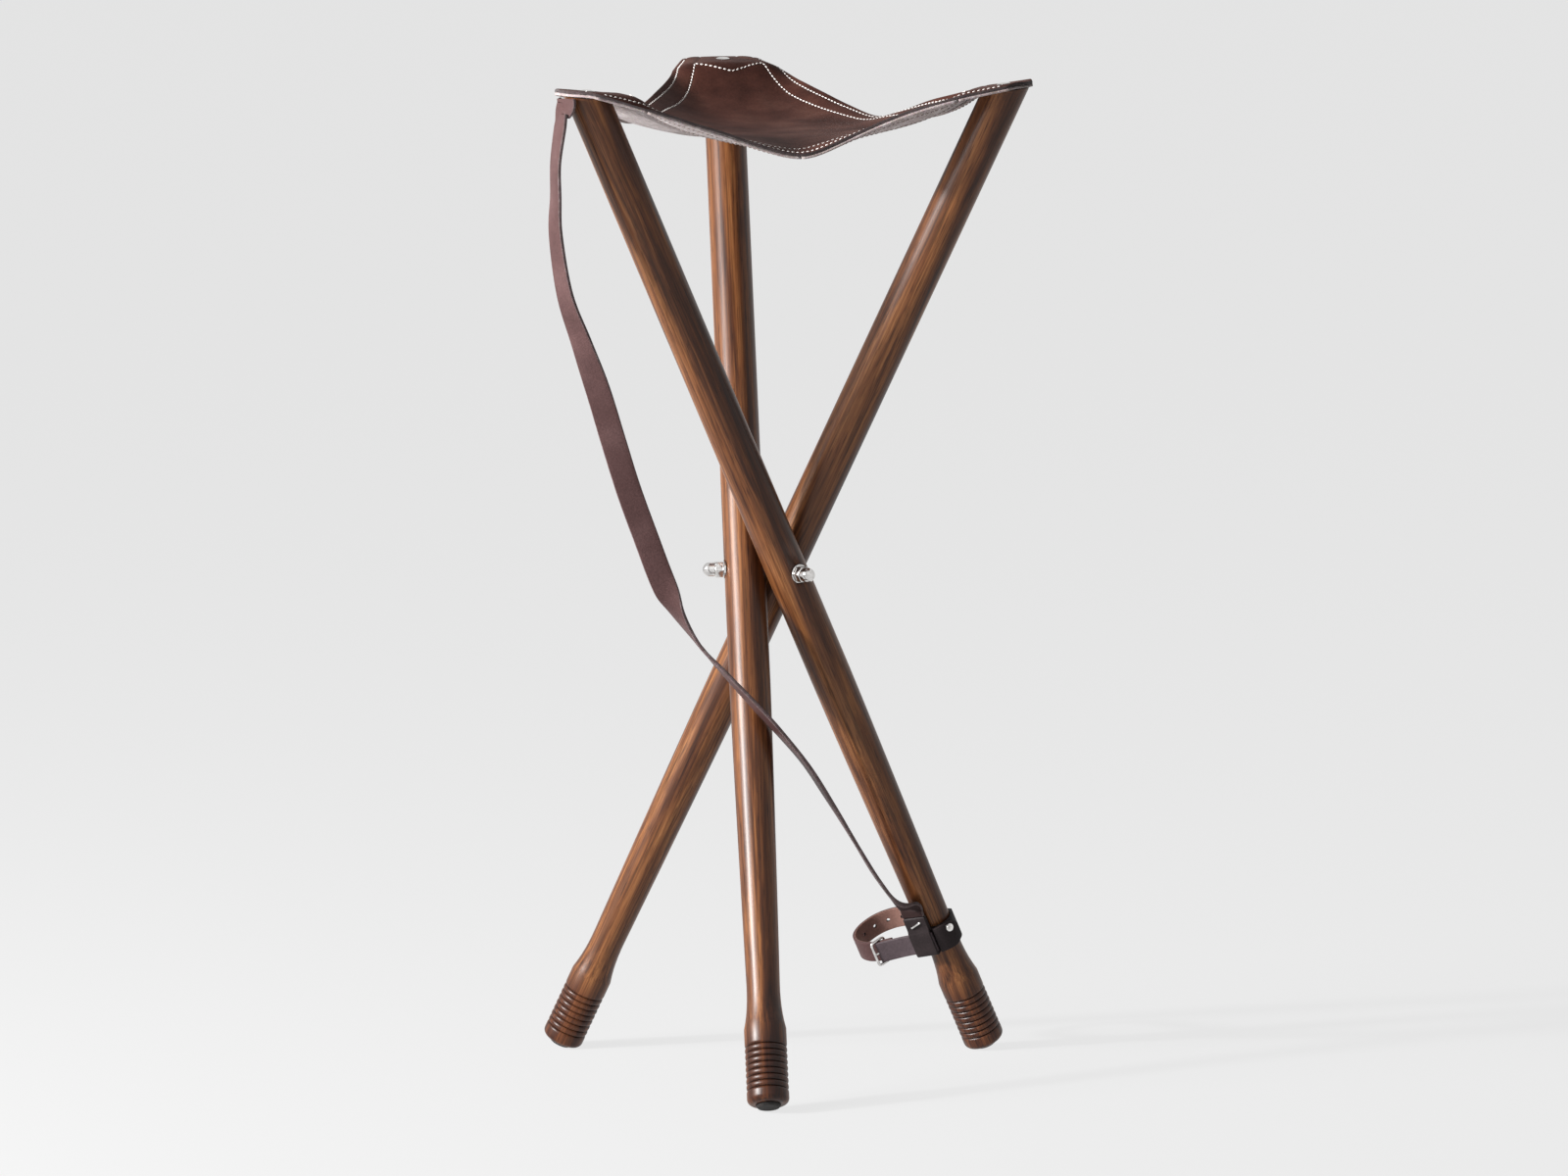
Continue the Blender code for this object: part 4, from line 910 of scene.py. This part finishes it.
# Collar with its riveted tail, keeper, belt and buckle
def collarStrip(name, route2, facing2, width, thick, finishes, closed=False, widths=None, crown=0.0):
    # a strip that stands along the collar's axis and follows a flat route round the leg
    axis = collarFrame.to_3x3() @ Vector((0, 0, 1))
    places = [collarFrame @ Vector((p.x, p.y, 0)) for p in route2]
    facings = [collarFrame.to_3x3() @ Vector((f.x, f.y, 0)) for f in facing2]
    frames = runFrames(places, facings, widths)
    if closed:
        frames = []
        for i, point in enumerate(places[:-1]):
            ahead = (places[(i + 1) % (len(places) - 1)] - places[i - 1 if i else len(places) - 2]).normalized()
            out = (facings[i] - ahead * facings[i].dot(ahead)).normalized()
            turn = Matrix((out.cross(ahead), out, ahead)).transposed().to_4x4()
            frames.append(Matrix.Translation(point) @ turn)
        frames.append(frames[0].copy())
    bm = extrudeAlong(bmesh.new(), stripProfile(width, thick, min(0.5 * mm, thick * 0.3), crown), frames, closed)
    made = place(name, bm, *finishes)
    if len(finishes) > 1:
        lie = made.data.attributes["lie"].data
        for face in made.data.polygons:
            depth = sum(lie[v].vector[2] for v in face.vertices) / len(face.vertices)
            face.material_index = 0 if depth > -thick / mm * 0.3 else 1
    return made


def outOf(route2):
    # outward side of a flat route, to the left of its run
    sidesOut = []
    for i in range(len(route2)):
        ahead = route2[min(i + 1, len(route2) - 1)] - route2[max(i - 1, 0)]
        sidesOut.append(Vector((-ahead.y, ahead.x)).normalized())
    return sidesOut


def circlePart(radius, start, end, steps):
    return [Vector((math.cos(a), math.sin(a))) * radius
            for a in (start + (end - start) * i / steps for i in range(steps + 1))]


def makeCollar():
    radius = collar["inner"] + collar["thick"] / 2
    ring = circlePart(radius, 0, 2 * math.pi, 64)
    band = collarStrip("legCollar", ring, ring, collar["height"], collar["thick"], [collarLeather], closed=True)
    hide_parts("leg_collar")
    start, end = math.radians(47) - collar["turn"], math.radians(118) - collar["turn"]
    outer = collarOuter + belt["gap"] + collar["thick"] / 2
    path = circlePart(outer, start, end, 40)
    half = collar["height"] / 2
    widths = []
    for i in range(41):
        left = (40 - i) / 40 * (end - start) * outer
        widths.append(max(0.12, math.sqrt(1 - max(0.0, 1 - (left + 0.06 * half) / half) ** 2)))
    tail = collarStrip("collarTail", path, path, collar["height"], collar["thick"], [collarLeather], widths=widths)
    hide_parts("collar_tail")
    for piece in (band, tail):
        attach(piece, "leg_right_body")


rivet = {"angle": math.radians(88), "radius": 2.9 * mm, "height": 1.3 * mm, "lift": 5.0 * mm}


def makeRivet():
    r, h = rivet["radius"], rivet["height"]
    profile = [(0, h * 0.35), (r * 0.22, h * 0.38), (r * 0.42, h * 0.75), (r * 0.6, h), (r * 0.78, h * 0.9),
               (r * 0.93, h * 0.55), (r, 0.1 * mm), (r * 0.96, -0.3 * mm)]
    bm = spun(profile, 40)
    angle = rivet["angle"] - collar["turn"]
    out = Vector((math.cos(angle), math.sin(angle), 0))
    at = out * (collarOuter + belt["gap"] + collar["thick"]) + Vector((0, 0, rivet["lift"]))
    turn = Vector((0, 0, 1)).rotation_difference(out).to_matrix().to_4x4()
    bmesh.ops.transform(bm, matrix=collarFrame @ Matrix.Translation(at) @ turn, verts=bm.verts)
    made = place("collarRivet", bm, nickel, tarnish)
    for face in made.data.polygons:  # the rolled-in middle has lost its plating
        fromMiddle = (collarFrame @ Matrix.Translation(at)).inverted() @ face.center
        fromMiddle -= out * fromMiddle.dot(out)
        face.material_index = 1 if fromMiddle.length < r * 0.38 else 0
    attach(made, "leg_right_body")
    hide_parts("collar_rivet")


backRoute = [Vector((math.cos(a), math.sin(a))) * beltRun for a in (math.radians(d) for d in (-112, -103, -94))]
backRoute += [Vector((x, y)) * mm for x, y in
              ((11, -18), (24, -22), (37, -25), (48, -24.4), (57.5, -18.5), (62.8, -8), (62.6, 3), (57.6, 12),
               (50, 17.4), (42, 19.4), (34, 18.6), (26, 16.6))]


def flat3(points):
    return [Vector((p.x, p.y, 0)) for p in points]


def makeBelt():
    pieces = []
    for name, route, finish, node in (
            ("beltBuckleEnd", frontRoute, beltLeather, "belt_buckle_end"),
            ("beltTipEnd", backRoute, strapLeather, "belt_tip_end")):
        path = [Vector((p.x, p.y)) for p in smoothRoute(flat3(route), 12)]
        facing = outOf(path) if node == "belt_buckle_end" else [-f for f in outOf(path)]
        made = collarStrip(name, path, facing, belt["width"], belt["thick"], [finish, beltInside])
        if node == "belt_tip_end":
            runs = [0.0]
            for a, b in zip(path, path[1:]):
                runs.append(runs[-1] + (b - a).length)
            for k, share in enumerate(belt["holes"]):
                i = min(range(len(runs)), key=lambda n: abs(runs[n] - share * runs[-1]))
                tool = bmesh.new()
                turn = Vector((0, 0, 1)).rotation_difference(Vector((*facing[i], 0))).to_matrix().to_4x4()
                bmesh.ops.create_cone(tool, cap_ends=True, segments=20, radius1=1.25 * mm, radius2=1.25 * mm,
                                      depth=10 * mm, matrix=collarFrame @ Matrix.Translation((*path[i], 0)) @ turn)
                cutter = place("punch" + str(k), tool)
                change = made.modifiers.new("hole", "BOOLEAN")
                change.operation = "DIFFERENCE"
                change.solver = "EXACT"
                change.object = cutter
                settle(made)
                bpy.data.objects.remove(cutter)
        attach(made, "leg_right_body")
        if node == "belt_tip_end":  # the loop gets a mesh of its own
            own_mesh(made)
        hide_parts(node)
        pieces.append(made)
    return pieces


def makeKeeper():
    # the strap's end is folded round the belt and pressed together in a tab above it
    run = (frontRoute[1] - frontRoute[0]).normalized()
    home = collarFrame @ Matrix.Translation((*frontRoute[0], 0)) @ Matrix.Rotation(math.atan2(run.y, run.x), 4, "Z")
    wall = keeper["wall"]
    deep = belt["thick"] / 2 + belt["gap"] + wall / 2
    low, top = wall / 2 - keeper["height"] / 2, keeper["height"] / 2 + keeper["tab"] - wall / 2
    pinch = deep - wall / 2
    corner = 1.5 * mm
    half = [Vector((0, low))]
    half += [Vector((deep - corner + corner * math.sin(a), low + corner - corner * math.cos(a)))
             for a in (math.pi / 2 * k / 6 for k in range(7))]
    half += [Vector((deep, -2 * mm)), Vector((deep, 3 * mm)), Vector((deep, keeper["height"] / 2 - pinch * 1.6)),
             Vector((deep * 0.84, keeper["height"] / 2 - pinch * 0.5)),
             Vector((wall * 0.62, keeper["height"] / 2 + pinch)), Vector((wall * 0.52, keeper["height"] / 2 + 2.4 * pinch))]
    half += [Vector((wall * 0.52, top - wall - k * 2 * mm)) for k in (2, 1, 0)]
    half += [Vector((wall * 0.52 * math.cos(a), top - wall * 0.52 + wall * 0.52 * math.sin(a)))
             for a in (math.pi / 2 * k / 4 for k in range(4))]
    flat = half + [Vector((0, top))] + [Vector((-p.x, p.y)) for p in reversed(half[1:])]
    frames = []
    for i, point in enumerate(flat):
        ahead = (flat[(i + 1) % len(flat)] - flat[i - 1]).normalized()
        out = Vector((0, ahead.y, -ahead.x))
        ahead = Vector((0, ahead.x, ahead.y))
        turn = Matrix((out.cross(ahead), out, ahead)).transposed().to_4x4()
        frames.append(home @ Matrix.Translation((keeper["length"] / 2, *point)) @ turn)
    frames.append(frames[0].copy())
    bm = extrudeAlong(bmesh.new(), stripProfile(keeper["length"], wall, 0.5 * mm), frames, True)
    sleeve = place("strapKeeper", bm, collarLeather)
    tool = bmesh.new()
    bmesh.ops.create_cone(tool, cap_ends=True, segments=64, radius1=collarOuter + belt["gap"],
                          radius2=collarOuter + belt["gap"], depth=60 * mm, matrix=collarFrame)
    cutter = place("collarClearance", tool)
    change = sleeve.modifiers.new("collarClearance", "BOOLEAN")
    change.operation = "DIFFERENCE"
    change.solver = "EXACT"
    change.object = cutter
    settle(sleeve)
    bpy.data.objects.remove(cutter)
    staple = {"wire": 0.75 * mm, "reach": 3.75 * mm, "tilt": math.radians(22)}
    middle = Vector((keeper["length"] / 2, wall + staple["wire"] * 0.7, keeper["height"] / 2 + keeper["tab"] / 2))
    way = Vector((-math.cos(staple["tilt"]), 0, math.sin(staple["tilt"]))) * staple["reach"]
    ends = [(-1.04, -1.4), (-1.0, -0.2), (-0.86, 0), (-0.4, 0.1), (0.4, 0.1), (0.86, 0), (1.0, -0.2), (1.04, -1.4)]
    path = smoothRoute([home @ (middle + way * t + Vector((0, drop * mm, 0))) for t, drop in ends], 5)
    facing = [home.to_3x3() @ Vector((0.4, 1, 0.9))] * len(path)
    wire = place("keeperStaple", extrudeAlong(bmesh.new(), roundProfile(staple["wire"]), runFrames(path, facing)), nickel)
    for piece, node, finish in ((sleeve, "strap_keeper", "collar_leather"), (wire, "keeper_staple", "nickel_plate")):
        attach(piece, "leg_right_body")
        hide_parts(node)


buckle = {"wire": 0.9 * mm, "prong": 0.7 * mm, "corner": 1.8 * mm}


def makeBuckle():
    front = frontRoute[-1]
    half = belt["width"] / 2 + belt["gap"] + buckle["wire"]
    outer, inner = front + Vector((1.4, 2.9)) * mm, front + Vector((-3.4, -6.4)) * mm
    across = outer - inner
    way = across.normalized()
    loop = []
    for i, (u, v) in enumerate(((1, 1), (-1, 1), (-1, -1), (1, -1))):
        for k in range(7):
            a = math.pi / 2 * (i + k / 6)
            reach = u * (across.length / 2 - buckle["corner"]) + buckle["corner"] * math.cos(a)
            flat = (outer + inner) / 2 + way * reach
            loop.append(collarFrame @ Vector((flat.x, flat.y, v * (half - buckle["corner"]) + buckle["corner"] * math.sin(a))))
    out = (loop[0] - loop[7]).cross(loop[14] - loop[7]).normalized()
    frames = []
    for i, point in enumerate(loop):
        ahead = (loop[(i + 1) % len(loop)] - loop[i - 1]).normalized()
        turn = Matrix((out.cross(ahead), out, ahead)).transposed().to_4x4()
        frames.append(Matrix.Translation(point) @ turn)
    frames.append(frames[0].copy())
    bow = place("buckleFrame", extrudeAlong(bmesh.new(), roundProfile(buckle["wire"]), frames, True), nickel)
    ends = [inner + way * buckle["wire"] * 0.5, (inner + outer) / 2 + Vector((-way.y, way.x)) * 0.5 * mm,
            outer - way * buckle["wire"] * 0.5]
    path = smoothRoute([collarFrame @ Vector((p.x, p.y, 0)) for p in ends], 8)
    facing = [collarFrame.to_3x3() @ Vector((0, 0, 1))] * len(path)
    tongue = place("buckleProng", extrudeAlong(bmesh.new(), roundProfile(buckle["prong"]), runFrames(path, facing)), nickel)
    for piece, node in ((bow, "buckle_frame"), (tongue, "buckle_prong")):
        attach(piece, "leg_right_body")
        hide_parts(node)


makeCollar()
makeRivet()
makeBelt()
makeKeeper()
makeBuckle()
print("collar, keeper, belt and buckle made")

# Finishes on the nodes that keep their own shape
for name, node in nodes.items():
    if node.hide_render:
        continue
    finish = nickel
    if name.startswith("foot_plug"):
        finish = rubber
    elif name == "hub_star":
        finish = plainSteel
    for slot in node.material_slots:
        slot.material = finish

# Floor, light and background
studio = {"ground": "#e6e6e6", "fill": 0.11, "floorGlow": 0.9, "glow": "#ededed"}
bm = bmesh.new()
bmesh.ops.create_grid(bm, x_segments=1, y_segments=1, size=40)
paper, tree, shader = newMaterial("paperFloor")
shader.inputs["Base Color"].default_value = linear(studio["ground"])
shader.inputs["Roughness"].default_value = 0.9
shader.inputs["Specular IOR Level"].default_value = 0.1
rays = addNode(tree, "ShaderNodeLightPath")
seen = addNode(tree, "ShaderNodeMath", {0: rays.outputs["Is Camera Ray"], 1: rays.outputs["Is Glossy Ray"]},
               operation="MAXIMUM")
seen = addNode(tree, "ShaderNodeMath", {0: seen.outputs[0], 1: rays.outputs["Is Transmission Ray"]}, operation="MAXIMUM")
share = addNode(tree, "ShaderNodeMath", {0: seen.outputs[0], 1: studio["floorGlow"]}, operation="MULTIPLY")
glow = addNode(tree, "ShaderNodeEmission", {"Color": linear(studio["glow"]), "Strength": 1.0})
both = addNode(tree, "ShaderNodeMixShader", {0: share.outputs[0], 1: shader.outputs[0], 2: glow.outputs[0]})
tree.links.new(both.outputs[0], tree.nodes["Material Output"].inputs["Surface"])
floor = place("floor", bm, paper, smooth=False)

world = bpy.data.worlds.new("studio")
bpy.context.scene.world = world
world.use_nodes = True
sky = world.node_tree
rays = addNode(sky, "ShaderNodeLightPath")
seen = addNode(sky, "ShaderNodeMath", {0: rays.outputs["Is Camera Ray"], 1: rays.outputs["Is Glossy Ray"]},
               operation="MAXIMUM")
seen = addNode(sky, "ShaderNodeMath", {0: seen.outputs[0], 1: rays.outputs["Is Transmission Ray"]}, operation="MAXIMUM")
level = addNode(sky, "ShaderNodeMapRange", {"Value": seen.outputs[0], "To Min": studio["fill"], "To Max": 1.0})
back = sky.nodes["Background"]
back.inputs["Color"].default_value = linear(studio["ground"])
sky.links.new(level.outputs[0], back.inputs["Strength"])


def lamp(name, azimuth, elevation, distance, size, power, colour="#ffffff"):
    # azimuth is turned from the camera's side of the stool, to the left when negative
    data = bpy.data.lights.new(name, "AREA")
    data.shape = "RECTANGLE"
    data.size, data.size_y = size
    data.energy = power
    data.color = linear(colour)[:3]
    made = bpy.data.objects.new(name, data)
    bpy.context.scene.collection.objects.link(made)
    turn = math.radians(viewpoint["turn"] - 90 + azimuth)
    rise = math.radians(elevation)
    aim = hub + Vector((0, 0, 0.02))
    way = Vector((math.cos(turn) * math.cos(rise), math.sin(turn) * math.cos(rise), math.sin(rise)))
    made.location = aim + way * distance
    made.rotation_euler = (-way).to_track_quat("-Z", "Y").to_euler()


lamp("keyBox", -66, 20, 2.6, (0.18, 0.18), 85)
lamp("sideBox", -64, 22, 2.4, (1.3, 1.0), 75)
lamp("frontFill", 10, 35, 3.0, (2.2, 2.2), 4)
bpy.context.scene.view_settings.view_transform = "Standard"
print("studio lit")
